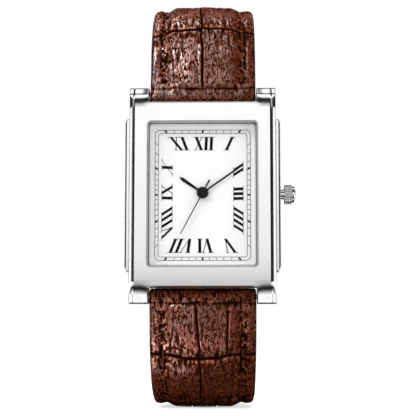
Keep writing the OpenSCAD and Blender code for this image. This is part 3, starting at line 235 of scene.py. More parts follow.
def tail_at(s):
    """Long strap's middle line: the mirrored loop, a cross-over at the buckle and an arc outside the short strap."""
    p = loop_at(s)
    z = s - RUN_START - RUN_Z
    y = RUN_Y + TAIL_SHIFT * smooth((z - CROSS_FROM) / (CROSS_TO - CROSS_FROM))
    r = BACK_R + TAIL_SHIFT
    a = (z - RUN_Z) / r
    far = [BACK_C[0] + r * np.cos(a), BACK_C[1] + r * np.sin(a)]
    parts = [s < RUN_START, z < RUN_Z]
    return np.stack([np.select(parts, [p[..., 0], y], far[0]), np.select(parts, [-p[..., 1], z], far[1])], -1)


def path_frame(s, side):
    """Points of the middle line and its outward normals, as (y, z) pairs."""
    at = loop_at if side > 0 else tail_at
    d = at(s + 0.05) - at(s - 0.05)
    d /= np.linalg.norm(d, axis=-1, keepdims=True)
    n = np.stack([-d[..., 1], d[..., 0]], -1) * side
    return at(s), n


def strap_points(s, side, x, h):
    """Points at places x across and heights h over the middle line at s."""
    at, n = path_frame(s, side)
    return np.stack([x, at[..., 0:1] + h * n[..., 0:1], at[..., 1:2] + h * n[..., 1:2]], -1)


def strap_width(s):
    """Width that eases from the lugs to the buckle, and rounds off at the long strap's tip."""
    w = FULL_WIDTH - (FULL_WIDTH - END_WIDTH) * smooth(s / 70)
    tip = np.clip((s - (TAIL_END - w * 0.62)) / (w * 0.62), 0, 1)
    return w * np.sqrt(1 - tip * tip * 0.84)


def strap_thickness(s):
    """Thickness that eases from the padded end by the case to the buckle."""
    return THICK_CASE + (THICK_END - THICK_CASE) * smooth((s - 3) / (PAD_END - 3))


def lattice_noise(u, v, seed):
    """Value noise from -1 to 1: random heights on whole-number corners, blended smoothly between them."""
    table = np.random.default_rng(seed).uniform(-1, 1, (256, 256))
    iu, iv = np.floor(u).astype(int), np.floor(v).astype(int)
    fu, fv = smooth(u - iu), smooth(v - iv)

    def corner(a, b):
        return table[(iu + a) % 256, (iv + b) % 256]

    low = corner(0, 0) * (1 - fu) + corner(1, 0) * fu
    high = corner(0, 1) * (1 - fu) + corner(1, 1) * fu
    return low * (1 - fv) + high * fv


def mesh_object(name, points, faces, smooth_faces=True):
    """Makes an object in metres from points in millimetres."""
    mesh = bpy.data.meshes.new(name)
    mesh.from_pydata((points * MM).tolist(), [], faces.tolist() if hasattr(faces, "tolist") else faces)
    mesh.polygons.foreach_set("use_smooth", [smooth_faces] * len(mesh.polygons))
    mesh.update()
    obj = bpy.data.objects.new(name, mesh)
    bpy.context.scene.collection.objects.link(obj)
    return obj


def grid_faces(rows, cols, around, closed=False):
    """Quads of a grid of rows by cols points; around joins the last column to the first, and closed the rows."""
    i, j = np.meshgrid(np.arange(rows if closed else rows - 1), np.arange(cols if around else cols - 1), indexing="ij")
    ni, nj = (i + 1) % rows, (j + 1) % cols
    return np.stack([i * cols + j, i * cols + nj, ni * cols + nj, ni * cols + j], -1).reshape(-1, 4)


def tube_faces(rows, cols, start=0):
    """Quads round a stack of rings whose points are numbered from start, and a cap at either end."""
    last = start + (rows - 1) * cols
    caps = [list(range(start, start + cols)), list(range(last + cols - 1, last - 1, -1))]
    return (grid_faces(rows, cols, True)[:, ::-1] + start).tolist() + caps


def tube_object(name, rings):
    """Closed skin round a stack of rings: an array of rows, points a ring and 3."""
    return fix_outward(mesh_object(name, rings.reshape(-1, 3), tube_faces(*rings.shape[:2])))


def fix_outward(obj):
    """Turns every face outwards when the closed mesh's signed volume is negative."""
    mesh = obj.data
    mesh.calc_loop_triangles()
    co = mesh_points(mesh)
    tri = np.empty(len(mesh.loop_triangles) * 3, int)
    mesh.loop_triangles.foreach_get("vertices", tri)
    a, b, c = (co[tri.reshape(-1, 3)[:, i]] for i in range(3))
    if np.einsum("ij,ij->i", a, np.cross(b, c)).sum() < 0:
        mesh.flip_normals()
    return obj


def mark_points(obj, like, **shares):
    """Writes point attributes by name, each spread over the grid that like has.

    The leather's finish reads crease, lip and edge, from 0 to 1, and across and along, in millimetres; crease also
    carries painted shade in hollows and painted shadows on the rolled ends.
    """
    for name, values in shares.items():
        attribute = obj.data.attributes.new(name, "FLOAT", "POINT")
        attribute.data.foreach_set("value", np.asarray(values + 0 * like, np.float32).ravel())


# Strap leather: rows of scales, in millimetres along the strap from the bar and across it from the middle.
# A crease across has its place along, its arch and its slope; a seam has its start, its end, its place across at
# both, and the share of the full depth.

CREASES = {
    1: [(11.5, 1.1, 0.15), (20.6, -0.5, 0.1), (29.4, 0.7, -0.2), (37.8, -0.4, 0.1), (46.2, 0.5, 0.0),
        (54.4, -0.3, 0.1), (62.0, 0.3, 0.0), (68.4, 0.2, 0.1)],
    -1: [(9.5, 0.45, -0.1), (18.6, -0.5, 0.15), (27.3, 0.6, 0.0), (35.8, -0.5, 0.2), (44.0, 0.4, 0.0),
         (51.8, -0.3, 0.1), (59.2, 0.4, -0.1), (66.2, -0.3, 0.0), (73.0, 0.3, 0.1), (79.6, -0.3, 0.0),
         (86.0, 0.3, 0.1), (92.2, -0.2, 0.0), (98.2, 0.2, 0.0)],
}
SEAMS = {
    1: [(-1, 11.5, 0.05, -0.25, 1.0), (11.5, 20.6, -0.25, -0.5, 1.0), (20.6, 29.4, -1.9, -1.5, 0.8),
        (20.6, 29.4, 2.3, 2.6, 0.8), (29.4, 37.8, 0.4, 0.1, 0.9), (37.8, 46.2, -2.0, -2.2, 0.7),
        (37.8, 46.2, 1.8, 2.0, 0.8), (46.2, 54.4, 0.0, 0.3, 0.8), (54.4, 62, -1.6, -1.4, 0.6),
        (54.4, 62, 2.0, 1.7, 0.6), (62, 76, 0.2, 0.0, 0.5)],
    -1: [(-1, 9.5, -1.25, -0.6, 1.0), (-1, 9.5, 4.4, 3.95, 0.9), (9.5, 18.6, -0.5, -0.4, 1.0),
         (9.5, 18.6, 5.1, 4.9, 0.45), (18.6, 27.3, -2.2, -2.0, 0.8), (18.6, 27.3, 2.1, 2.4, 0.8),
         (27.3, 35.8, 0.2, 0.4, 0.9), (35.8, 44, -1.8, -2.1, 0.7), (35.8, 44, 2.0, 1.8, 0.7),
         (44, 51.8, 0.1, -0.2, 0.8), (51.8, 59.2, -2.0, -1.8, 0.6), (51.8, 59.2, 1.9, 2.0, 0.6),
         (59.2, 66.2, 0.2, 0.0, 0.6), (66.2, 73, -1.7, -1.9, 0.5), (66.2, 73, 1.8, 1.6, 0.5),
         (73, 79.6, 0.1, 0.1, 0.5), (79.6, 86, -1.6, -1.5, 0.5), (79.6, 86, 1.6, 1.7, 0.5),
         (86, 92.2, 0.0, 0.1, 0.5), (92.2, 98.2, -1.3, -1.2, 0.5), (92.2, 98.2, 1.3, 1.2, 0.5)],
}


def scale_relief(s, x, side):
    """Height in mm and the dark and warm shares of the scales at arrays s, along, and x, across.

    Each crease is a bell-shaped trench along a wavy, arched line across the strap; each seam is a trench
    along it between two creases. Scales are domed between them, and wrinkles are ridged noise drawn out
    along the strap, strongest beside the creases.
    """
    depth = sizes().groove_depth
    wave = lattice_noise(x / 2.6 + 3.1, s / 9.0 + 11, 5 + side) * 0.28
    wave += lattice_noise(x / 0.8, s / 6.0, 9 + side) * 0.1
    # Dark share in creases, seams, wrinkle hollows and teeth: partly the hide's darker grooves, partly painted shade
    height, dark, warm, near, teeth, dome = (np.zeros_like(s) for _ in range(6))
    edge_fade = 0.55 + 0.45 * smooth((9.2 - np.abs(x)) / 3.0)
    for base, arch, slope in CREASES[side]:
        d = s - (base + arch * (1 - (x / 7.5) ** 2) * 0.5 + slope * x * 0.12 + wave)
        height -= depth * edge_fade * bump(d, 0.2) + 0.1 * bump(d, 1.5)
        height += 0.08 * (bump(d - 0.55, 0.3) + 0.7 * bump(d + 0.55, 0.35))
        dark = np.maximum(dark, bump(d, 0.2))
        warm = np.maximum(warm, bump(d - 0.48, 0.25))
        near = np.maximum(near, bump(d, 1.9))
        teeth = np.maximum(teeth, bump(np.abs(d) - 1.0, 0.65))
    for start, end, x0, x1, share in SEAMS[side]:
        inside = smooth((s - start + 0.1) / 0.7) * smooth((end + 0.1 - s) / 0.7)
        line = x0 + (x1 - x0) * np.clip((s - start) / (end - start), 0, 1)
        d = x - (line + lattice_noise(s / 2.1, 0 * s + 7, 21) * 0.13)
        height -= depth * share * inside * bump(d, 0.15)
        height += 0.06 * share * inside * (bump(d - 0.4, 0.22) + bump(d + 0.4, 0.22))
        dark = np.maximum(dark, share * inside * bump(d, 0.16))
        warm = np.maximum(warm, 0.5 * share * inside * bump(d - 0.34, 0.14))
        near = np.maximum(near, 0.5 * inside * bump(d, 1.0))
        dome += 0.12 * inside * (1 - bump(d, 1.7))
    fibre = lattice_noise(x / 0.33 + wave * 1.5, s / 1.05, 31)
    short = lattice_noise(x / 0.24, s / 0.6, 37)
    valley = smooth((-fibre - 0.12) / 0.5)
    tooth = smooth((lattice_noise(x / 0.26, s / 1.6 + x, 43) - 0.1) / 0.5) * teeth
    height -= sizes().wrinkle_depth * (1.1 * valley + 0.5 * smooth((-short - 0.1) / 0.5) + 1.5 * tooth)
    height += 0.05 * lattice_noise(x / 2.2, s / 2.7, 47) + dome * 0.6
    # Wrinkle hollows and teeth darkened: partly the hide's own tone, partly painted shade
    dark = np.maximum(dark, 0.6 * valley * (0.55 + 0.45 * near))
    dark = np.maximum(dark, np.maximum(0.45 * tooth, 0.35 * smooth((-short - 0.3) / 0.4)))
    warm = warm * (0.65 + 0.6 * np.clip(lattice_noise(x / 0.7, s / 0.7, 53) + 0.3, 0, 1))
    return height, np.clip(dark, 0, 1), np.clip(warm, 0, 1)


def outer_height(s, x, half):
    """Height of the strap's outer face over its middle line: pad, border with its stitch channel and round edge.

    The pad is a raised plateau that falls in an S-curve to the border; it fades out towards the buckle.
    Within half a millimetre of the edge the face rounds over as a quarter circle.
    """
    a = np.abs(x)
    pad = half - PAD_BORDER
    rise = sizes().pad_rise * smooth((PAD_END - s) / PAD_FADE)
    top = strap_thickness(s) / 2
    out = np.clip(a / pad, 0, 1)
    crown = PAD_CROWN[0] * out ** 2 + PAD_CROWN[1] * out
    h = top - rise + rise * smooth((pad - a) / PAD_SLOPE + 0.5) - rise * crown
    off = a - (half - (FULL_WIDTH / 2 - sizes().stitch_line))
    h -= 0.16 * bump(off, 0.5) + 0.12 * smooth((off - 0.9) / 1.4) - 0.08 * bump(off - 1.1, 0.5)
    over = np.clip((a - (half - EDGE_ROUND)) / EDGE_ROUND, 0, 1)
    return h - EDGE_ROUND * round_drop(over, 1)


def strap_skin(name, side, start, end):
    """Leather cover as rings square to the strap's path: the relief outside, straight sides and a flat base.

    The long strap's relief is lower on its thin run, where the keepers slide. The stitch channels are pebbled, and
    both ends round over.
    """
    fine = np.linspace(start, FINE_END, int((FINE_END - start) / FINE_STEP))
    coarse = np.linspace(FINE_END, end, int((end - FINE_END) / COARSE_STEP))[1:]
    s = np.concatenate([fine, coarse])
    cols = sizes().columns
    half = strap_width(s)[:, None] / 2
    even = np.linspace(-1, 1, cols)
    x = half * (np.sin(even * math.pi / 2) * 0.35 + even * 0.65)[None, :]
    ss = s[:, None] + 0 * x
    relief, dark, warm = scale_relief(ss, x, side)
    if side < 0:
        relief = relief - THIN_RELIEF * smooth((ss - THIN_FROM) / 10)
    keep = smooth((half - np.abs(x)) / 0.35)
    channel = bump(np.abs(x) - (half - FULL_WIDTH / 2 + sizes().stitch_line), 0.75)
    pebble = lattice_noise(x / 0.3, ss / 0.36, 67 + side)
    relief += channel * 0.07 * pebble
    # Dark in the pebbles' hollows: partly the channel's own darker leather, partly painted shade
    dark = np.maximum(dark, channel * smooth((0.1 - pebble) / 0.3))
    warm = np.maximum(warm, channel * 0.9 * smooth((pebble - 0.2) / 0.3))
    h = outer_height(ss, x, half) + relief * keep
    lead = np.clip((start + FRONT_ROUND - ss) / FRONT_ROUND, 0, 1)
    tail = np.clip((ss - (end - END_ROUND)) / END_ROUND, 0, 1)
    h -= 0.75 * round_drop(lead, 0.98) + 0.5 * round_drop(tail, 0.98)
    # Painted shade: the cover's rounded front end, in the groove by the roll, is darkened
    dark = np.maximum(dark, lead ** 2 * (0.3 + 0.35 * smooth(lattice_noise(x / 1.3, 0 * x, 8) + 0.5)))
    base = (LINING - strap_thickness(s) / 2)[:, None]
    h = np.maximum(h, base + 0.12)
    down = np.linspace(0, 1, 7)[1:]
    up = np.concatenate([[0], down[:-1]])
    under = np.linspace(1, -1, 14)[1:-1]
    ring_x = np.concatenate([x, half + 0.07 * np.sin(down * math.pi), half * under,
                             -half - 0.07 * np.sin(up * math.pi)], 1)
    ring_h = np.concatenate([h, h[:, -1:] + (base - h[:, -1:]) * down, base + 0 * under,
                             base + (h[:, :1] - base) * up], 1)
    obj = tube_object(name, strap_points(s, side, ring_x, ring_h))
    pad = ((0, 0), (0, ring_x.shape[1] - cols))
    edge = np.ones_like(ring_x)
    edge[:, :cols] = 1 - keep
    mark_points(obj, ring_x, crease=np.pad(dark, pad), lip=np.pad(warm, pad), edge=edge, across=np.pad(x, pad),
                along=s[:, None])
    return obj


def lining_skin(name, side, end):
    """Calf band along the strap's path: rings with rounded corners, and a faint grain on the wrist's side."""
    start, step, corner = 1.9, 0.5, 0.22
    s = np.linspace(start, end, int((end - start) / step))
    low = -strap_thickness(s) / 2 + 0.015 * lattice_noise(s / 0.9, s * 0 + 2, 3)
    high = LINING - strap_thickness(s) / 2
    half = strap_width(s) / 2 - 0.06
    r = np.minimum(corner, (high - low) * 0.3)
    a = np.linspace(0, math.pi / 2, 5)
    xs, hs = [], []
    for turn, (sx, middle) in enumerate(((1, high - r), (-1, high - r), (-1, low + r), (1, low + r))):
        ang = a + turn * math.pi / 2
        xs.append((sx * (half - r))[:, None] + r[:, None] * np.cos(ang))
        hs.append(middle[:, None] + r[:, None] * np.sin(ang))
    u = np.linspace(1, -1, 42)[1:-1]
    x = np.concatenate([xs[0], (half - r)[:, None] * u, xs[1], xs[2], -(half - r)[:, None] * u, xs[3]], 1)
    h = np.concatenate([hs[0], high[:, None] + 0 * u, hs[1], hs[2], low[:, None] + 0 * u, hs[3]], 1)
    obj = tube_object(name, strap_points(s, side, x, h))
    return obj


def outline_sweep(name, outline, xs, shrink):
    """Closed outline in the side plane carried across: outline is points by 2 (y, z), xs places, shrink per place.

    shrink moves each outline point along its inward normal, which rounds both ends.
    """
    d = tangents(outline)
    inward = np.stack([-d[:, 1], d[:, 0]], 1)
    area = np.sum(outline[:, 0] * np.roll(outline[:, 1], -1) - outline[:, 1] * np.roll(outline[:, 0], -1))
    inward *= 1 if area > 0 else -1
    p = outline[None] + inward[None] * np.asarray(shrink)[:, :, None]
    rings = np.stack([np.asarray(xs)[:, None] + 0 * p[..., 0], p[..., 0], p[..., 1]], -1)
    obj = tube_object(name, rings)
    return obj


def rolled_end_skin(name, side, seat):
    """Leather rolled round the spring bar: a circle about the bar with two straight legs, wrinkled along the roll.

    seat is how far from the bar the strap's cover begins, where the roll has a groove darkened as a painted shadow
    line. The stretch of the roll behind the case is darkened as a painted shadow.
    """
    turn = np.linspace(math.pi, 2 * math.pi, 64)
    leg = np.linspace(0, ROLL_LEG, 26)[1:]
    arc = np.stack([ROLL_R * np.cos(turn), ROLL_R * np.sin(turn)], 1)
    right = np.stack([ROLL_R + 0 * leg, leg], 1)
    flat = np.concatenate([arc, right, right[::-1] * [-1, 1]])
    c, q = math.cos(TILT), math.sin(TILT)
    outline = np.stack([flat[:, 0] * c + flat[:, 1] * q, -flat[:, 0] * q + flat[:, 1] * c], 1) + BAR
    if side < 0:
        outline = outline * [1, -1]
    half, rim, columns = FULL_WIDTH / 2, 0.45, 150
    xs = half * np.linspace(-1, 1, columns)
    over = np.clip((np.abs(xs) - (half - rim)) / rim, 0, 1)[:, None]
    run = lengths(outline)
    gx, gr = np.meshgrid(xs, run, indexing="ij")
    ridged = smooth((-lattice_noise(gx / 0.3, gr / 1.3, 51 + side) - 0.15) / 0.5)
    window = np.clip(np.minimum(run, run[-1] - run), 0, 1)[None]
    # Groove where the cover sits on the roll: in the relief, and darkened as a painted shadow line
    seat_groove_and_shadow = bump(run[-1] - gr - seat + 0.2 * lattice_noise(gx / 1.7, gr * 0, 5), 0.2)
    seat_groove_and_shadow = seat_groove_and_shadow * (0.5 + 0.5 * smooth(lattice_noise(gx / 1.3, gr * 0, 8) + 0.5))
    # Painted shadow: the stretch of the roll that goes behind the case is darkened
    shade_end = 6.15 if side > 0 else 5.5
    behind_case_shadow = smooth((gr - 1.1) / 0.6) * smooth((shade_end - gr) / 0.7)
    wrinkle = 0.05 * ridged + 0.06 * seat_groove_and_shadow + 0.03 * lattice_noise(gx / 1.1, gr / 0.9, 57)
    obj = outline_sweep(name, outline, xs, 0.42 * round_drop(over) + wrinkle * (1 - over) * window)
    # The crease share carries the wrinkles' dark hollows (partly painted shade) and both painted shadows
    mark_points(obj, gx, crease=np.clip(0.55 * ridged + 0.75 * seat_groove_and_shadow + behind_case_shadow, 0, 1),
                lip=0.4 * smooth(lattice_noise(gx / 0.6, gr / 0.4, 59) / 0.6), edge=over ** 2, across=gx, along=gr)
    return obj


def thread_row(name, side, s_list, x_of, height_of):
    """Row of stitches: each is a short bent tube whose ends dip into the leather."""
    z = sizes()
    rings, points = 8, 6
    reach, rise, sink = 0.4, 0.16, 0.12
    t = np.linspace(-1, 1, rings)
    s = np.asarray(s_list)[:, None] + t * z.stitch_pitch * reach
    x = x_of(s)
    h = height_of(s, x) + (rise * (1 - t ** 2) ** 0.7 - sink)
    radius = (z.thread * (1 - 0.55 * t ** 6) + 0 * s)[..., None]
    ang = np.linspace(0, 2 * math.pi, points, endpoint=False)
    pts = strap_points(s, side, x[..., None] + radius * np.cos(ang), h[..., None] + radius * np.sin(ang))
    faces = [face for i in range(len(s_list)) for face in tube_faces(rings, points, i * rings * points)]
    obj = fix_outward(mesh_object(name, pts.reshape(-1, 3), faces))
    return obj


def cut_holes(obj, side, radius_x, half_long):
    """Cuts the six oval adjusting holes with one Boolean against prisms square to the strap."""
    points, reach = 28, 2.4
    ang = np.linspace(0, 2 * math.pi, points, endpoint=False)
    across = radius_x * np.cos(ang)
    along = radius_x * np.sin(ang) + np.sign(np.sin(ang)) * (half_long - radius_x)
    verts, faces = [], []
    for i in range(HOLES):
        at, n = path_frame(np.array([RUN_START + RUN_Z - HOLE_DOWN + (i - FASTENED) * HOLE_PITCH]), side)
        d = np.array([-n[0, 1], n[0, 0]])
        for level in (-reach, reach):
            y, z = (at[0, k] + level * n[0, k] + along * d[k] for k in (0, 1))
            verts.append(np.stack([across, y, z], 1))
        faces += tube_faces(2, points, 2 * points * i)
    tool = fix_outward(mesh_object("hole_cutter", np.concatenate(verts), faces, False))
    cut = obj.modifiers.new("holes", "BOOLEAN")
    cut.object = tool
    cut.operation = "DIFFERENCE"
    cut.solver = "EXACT"
    bpy.context.view_layer.update()
    graph = bpy.context.evaluated_depsgraph_get()
    mesh = bpy.data.meshes.new_from_object(obj.evaluated_get(graph))
    obj.modifiers.clear()
    obj.data = mesh
    bpy.data.objects.remove(tool)


def keeper_skin(name, node):
    """Leather band round both straps: a rounded rectangle with a crowned section and a pressed line by each edge."""
    low, high = node_mm(node)
    thick, corner, line_inset = 0.9, 0.8, 0.75
    middle, half_z = (low + high) / 2, (high[2] - low[2]) / 2
    reach_x, reach_y = high[0] - thick / 2, (high[1] - low[1]) / 2 - thick / 2
    corners = []
    for sx, sy, from_angle in ((1, 1, 0), (-1, 1, 90), (-1, -1, 180), (1, -1, 270)):
        a = np.radians(np.linspace(from_angle, from_angle + 90, 12))
        corners.append(np.stack([sx * (reach_x - corner) + corner * np.cos(a),
                                 sy * (reach_y - corner) + corner * np.sin(a)], 1))
    steps = []
    for k in range(4):
        a, b = corners[k][-1], corners[(k + 1) % 4][0]
        count = max(2, int(np.linalg.norm(b - a) / 0.35))
        steps += [corners[k], a + (b - a) * np.linspace(0, 1, count)[1:-1, None]]
    path = np.concatenate(steps)
    d = tangents(path)
    ang = np.linspace(0, 2 * math.pi, 44, endpoint=False)
    c, q = np.cos(ang), np.sin(ang)
    v = np.sign(c) * np.abs(c) ** 0.28 * half_z
    from_line = np.abs(v) - half_z + line_inset
    w = np.sign(q) * np.abs(q) ** 0.42 * (thick / 2) - np.where(q > 0, 0.1 * bump(from_line, 0.16), 0)
    run = lengths(path)[:, None]
    off = w[None] + np.where(q[None] > 0, 0.012 * lattice_noise(run / 0.5, v[None] / 0.5, 61), 0)
    rings = np.stack([path[:, None, 0] + d[:, None, 1] * off, middle[1] + path[:, None, 1] - d[:, None, 0] * off,
                      middle[2] + v[None] + 0 * off], -1)
    obj = fix_outward(mesh_object(name, rings.reshape(-1, 3), grid_faces(*off.shape, True, True)))
    mark_points(obj, off, crease=np.where(q > 0, bump(from_line, 0.18), 0), lip=0,
                edge=(np.abs(v) > half_z - 0.22).astype(float), across=v, along=run)
    return obj


def loop_tab_skin(name, x_from, x_to):
    """Leather folded round the hinge bar beside the tongue's notch: a U-shaped sheet swept across.

    Both legs ease from the circle round the bar to the strap's own thickness, and close to a slit between them.
    """
    outer, inner, top, slit, rim = 1.15, 0.6, 1.95, 0.04, 0.2
    half = THICK_END / 2
    a = np.radians(np.linspace(0, -180, 36))
    circle = np.stack([np.cos(a), np.sin(a)], 1)
    leg = np.linspace(top, 0, 12)[:-1]
    flare = half + (outer - half) * smooth((top - leg) / top)
    gap = np.linspace(0, top, 8)[1:]
    pinch = inner + (slit - inner) * smooth(gap / top)
    outline = np.concatenate([np.stack([flare, leg], 1), outer * circle, np.stack([-flare, leg], 1)[::-1],
                              np.stack([-pinch, gap], 1)[::-1], inner * circle[::-1], np.stack([pinch, gap], 1)])
    outline += [RUN_Y, HINGE_Z]
    xs = np.linspace(x_from, x_to, 36)[:, None]
    over = np.clip(np.maximum(x_from + rim - xs, xs - x_to + rim) / rim, 0, 1)
    shrink = 0.16 * round_drop(over) + 0 * outline[None, :, 0]
    obj = outline_sweep(name, outline, xs[:, 0], shrink)
    run = np.linspace(0, 8, len(outline))[None]
    lines = np.clip(1 - np.abs(lattice_noise((xs + 0 * shrink) / 0.5, (run + 0 * shrink) / 1.2, 71)) * 2, 0, 1) ** 3
    mark_points(obj, shrink, crease=lines * 0.6, lip=0, edge=over, across=xs, along=run)
    return obj


# Finishes

def shade(colour, scale, lift=0.0):
    """Colour scaled and lifted, up to white."""
    return tuple(min(1, c * scale + lift) for c in colour)


class Nodes:
    """Node chains in one tree, which is emptied first."""

    def __init__(self, tree):
        self.tree = tree
        tree.nodes.clear()

    def put(self, kind, inputs=None, **props):
        """New node with its properties set and its inputs fed, by their names or numbers."""
        node = self.tree.nodes.new(kind)
        for key, value in props.items():
            setattr(node, key, value)
        for key, value in (inputs or {}).items():
            self.feed(node.inputs[key], value)
        return node

    def feed(self, socket, value):
        """Links an output to the socket, or sets the socket's own value."""
        if isinstance(value, bpy.types.NodeSocket):
            self.tree.links.new(value, socket)
        elif socket.type == "RGBA" and len(value) == 3:
            socket.default_value = (*value, 1)
        else:
            socket.default_value = value

    def span(self, value, low, high, to_low=0.0, to_high=1.0, how="LINEAR"):
        return self.put("ShaderNodeMapRange", {"Value": value, "From Min": low, "From Max": high, "To Min": to_low,
                                               "To Max": to_high}, interpolation_type=how).outputs[0]

    def math(self, how, a, b=0.0):
        return self.put("ShaderNodeMath", {0: a, 1: b}, operation=how).outputs[0]

    def seen(self):
        """1 for camera, glossy and transmission rays, and 0 for the diffuse rays that light the scene."""
        light = self.put("ShaderNodeLightPath").outputs
        seen = self.math("MAXIMUM", light["Is Camera Ray"], light["Is Glossy Ray"])
        return self.math("MAXIMUM", seen, light["Is Transmission Ray"])


class Finish(Nodes):
    """A procedural material: a Principled shader and the node chains that feed it, on Object coordinates in metres."""

    def __init__(self, name):
        self.mat = bpy.data.materials.new(name)
        self.mat.use_nodes = True
        super().__init__(self.mat.node_tree)
        self.shader = self.put("ShaderNodeBsdfPrincipled")
        self.out = self.put("ShaderNodeOutputMaterial", {0: self.shader.outputs[0]})
        self.place = self.put("ShaderNodeTexCoord").outputs["Object"]

    def set(self, **values):
        """Feeds the shader's inputs by name, with _ for a space."""
        for key, value in values.items():
            self.feed(self.shader.inputs[key.replace("_", " ")], value)

    def noise(self, scale, stretch=(1, 1, 1), detail=2.0, place=None, rough=0.55, twist=0.0):
        spot = self.put("ShaderNodeMapping", {"Vector": place or self.place, "Scale": stretch}).outputs[0]
        return self.put("ShaderNodeTexNoise", {"Vector": spot, "Scale": scale, "Detail": detail, "Roughness": rough,
                                               "Distortion": twist}).outputs["Fac"]

    def wave(self, scale, twist, place=None, detail=2.0, **props):
        return self.put("ShaderNodeTexWave", {"Vector": place or self.place, "Scale": scale, "Distortion": twist,
                                              "Detail": detail}, **props).outputs["Fac"]

    def attribute(self, name):
        return self.put("ShaderNodeAttribute", attribute_name=name).outputs["Fac"]

    def mix(self, share, a, b):
        return self.put("ShaderNodeMix", {0: share, 6: a, 7: b}, data_type="RGBA").outputs[2]

    def tint(self, share, colour, scale, lift=0.0):
        """Colour that goes by share to its own scaled shade."""
        return self.mix(share, colour, shade(colour, scale, lift))

    def raised(self, height, strength=1.0, distance=1.0, under=None):
        """Normals of a surface raised by height, over the normals under it."""
        bump = self.put("ShaderNodeBump", {"Height": height, "Strength": strength, "Distance": distance})
        if under:
            self.feed(bump.inputs["Normal"], under)
        return bump.outputs[0]

    def bump(self, height, strength, distance, under=None):
        self.set(Normal=self.raised(height, strength, distance, under))

    def replace_shader(self, kind, inputs):
        """Puts a mix or a sum of shaders before the output."""
        self.feed(self.out.inputs[0], self.put(kind, inputs).outputs[0])


def crowned_normal(f, normal):
    """Case's face falling away softly along its two long edges, and before the lugs beside the strap.

    Along an edge the height drops as the square of the distance from where the fall begins; before the lugs it
    drops as a smooth step of the height over the middle, and only beyond the strap's width.
    """
    axis = f.put("ShaderNodeSeparateXYZ", {0: f.place}).outputs
    aside, upward = f.math("ABSOLUTE", axis[0]), f.math("ABSOLUTE", axis[2])
    edge = f.span(aside, FACE_HALF - CROWN_WIDTH, FACE_HALF)
    normal = f.raised(f.math("MULTIPLY", f.math("MULTIPLY", edge, edge), -CROWN_DROP), under=normal)
    fall = f.span(upward, *LUG_FALL, 0.0, -LUG_DROP, "SMOOTHSTEP")
    beside = f.span(aside, *STRAP_EDGE, how="SMOOTHSTEP")
    return f.raised(f.math("MULTIPLY", fall, beside), under=normal)


def polished(name, colour, rough, haze=0.03, scratch=0.02, ease=0.00012, crowned=False):
    """Polished metal: haze in patches and long fine scratches vary its roughness.

    ease is the radius in metres that rounds every edge over, as polishing does; crowned bends the case's face.
    """
    f = Finish(name)
    patches = f.noise(180.0, detail=3.0)
    marks = f.noise(5200.0, (1, 1, 0.06))
    hazy, scratched = f.span(patches, 0.3, 0.7, rough, rough + haze), f.span(marks, 0.45, 0.75, 0, scratch)
    f.set(Base_Color=f.tint(patches, colour, 0.94), Metallic=1.0, Roughness=f.math("ADD", hazy, scratched))
    normal = f.put("ShaderNodeBevel", {"Radius": ease}, samples=8).outputs[0]
    if crowned:
        normal = crowned_normal(f, normal)
    f.bump(marks, 0.02, 0.000004, normal)
    return f.mat


def brushed(name, colour, rough, stretch):
    """Brushed metal: noise drawn out along one axis gives the lines, in tone, roughness and bump."""
    f = Finish(name)
    lines = f.noise(2600.0, stretch, 3.0)
    cloud = f.noise(220.0)
    f.set(Base_Color=f.tint(lines, colour, 0.82), Metallic=1.0,
          Roughness=f.math("ADD", f.span(lines, 0.3, 0.7, rough, rough + 0.1), f.span(cloud, 0.3, 0.7, 0, 0.05)))
    f.bump(lines, 0.06, 0.00002)
    return f.mat


def moulded(name, colour, rough, grain=0.12, metallic=0.0):
    """Moulded or painted surface: a fine orange-peel bump and slow changes of tone."""
    f = Finish(name)
    peel = f.noise(3800.0)
    cloud = f.noise(260.0)
    f.set(Base_Color=f.tint(cloud, colour, 0.86, 0.004), Metallic=metallic,
          Roughness=f.span(cloud, 0.3, 0.7, rough, min(1, rough + 0.1)))
    f.bump(peel, grain, 0.00001)
    return f.mat


def lacquer_white():
    """Dial: smooth white lacquer, with the faintest orange peel and mottling."""
    f = Finish("dial lacquer")
    cloud = f.noise(140.0)
    f.set(Base_Color=f.tint(cloud, colours().dial, 0.975), Specular_IOR_Level=0.3,
          Roughness=f.span(cloud, 0.3, 0.7, 0.38, 0.46))
    f.bump(f.noise(5200.0), 0.02, 0.000004)
    return f.mat


def black_lacquer(name, scale, dark, pale, rough, shine, grain):
    """Black ink or lacquer with a fine speck, which varies its tone and its roughness between rough's two values."""
    f = Finish(name)
    speck = f.noise(scale)
    f.set(Base_Color=f.mix(speck, dark, pale), Roughness=f.span(speck, 0.3, 0.7, *rough), Specular_IOR_Level=shine)
    f.bump(speck, grain, 0.000004)
    return f.mat


def coated_crystal():
    """Crystal: clear mineral glass with a coating that reflects little; shadow rays pass straight through."""
    f = Finish("coated crystal")
    smear = f.noise(60.0, detail=3.0)
    f.set(Base_Color=(1.0, 1.0, 1.0), Roughness=f.span(smear, 0.45, 0.8, 0.0, 0.02), IOR=1.12, Transmission_Weight=1.0)
    light = f.put("ShaderNodeLightPath").outputs
    either = f.math("MAXIMUM", light["Is Shadow Ray"], light["Is Diffuse Ray"])
    clear = f.put("ShaderNodeBsdfTransparent").outputs[0]
    f.replace_shader("ShaderNodeMixShader", {0: either, 1: f.shader.outputs[0], 2: clear})
    return f.mat


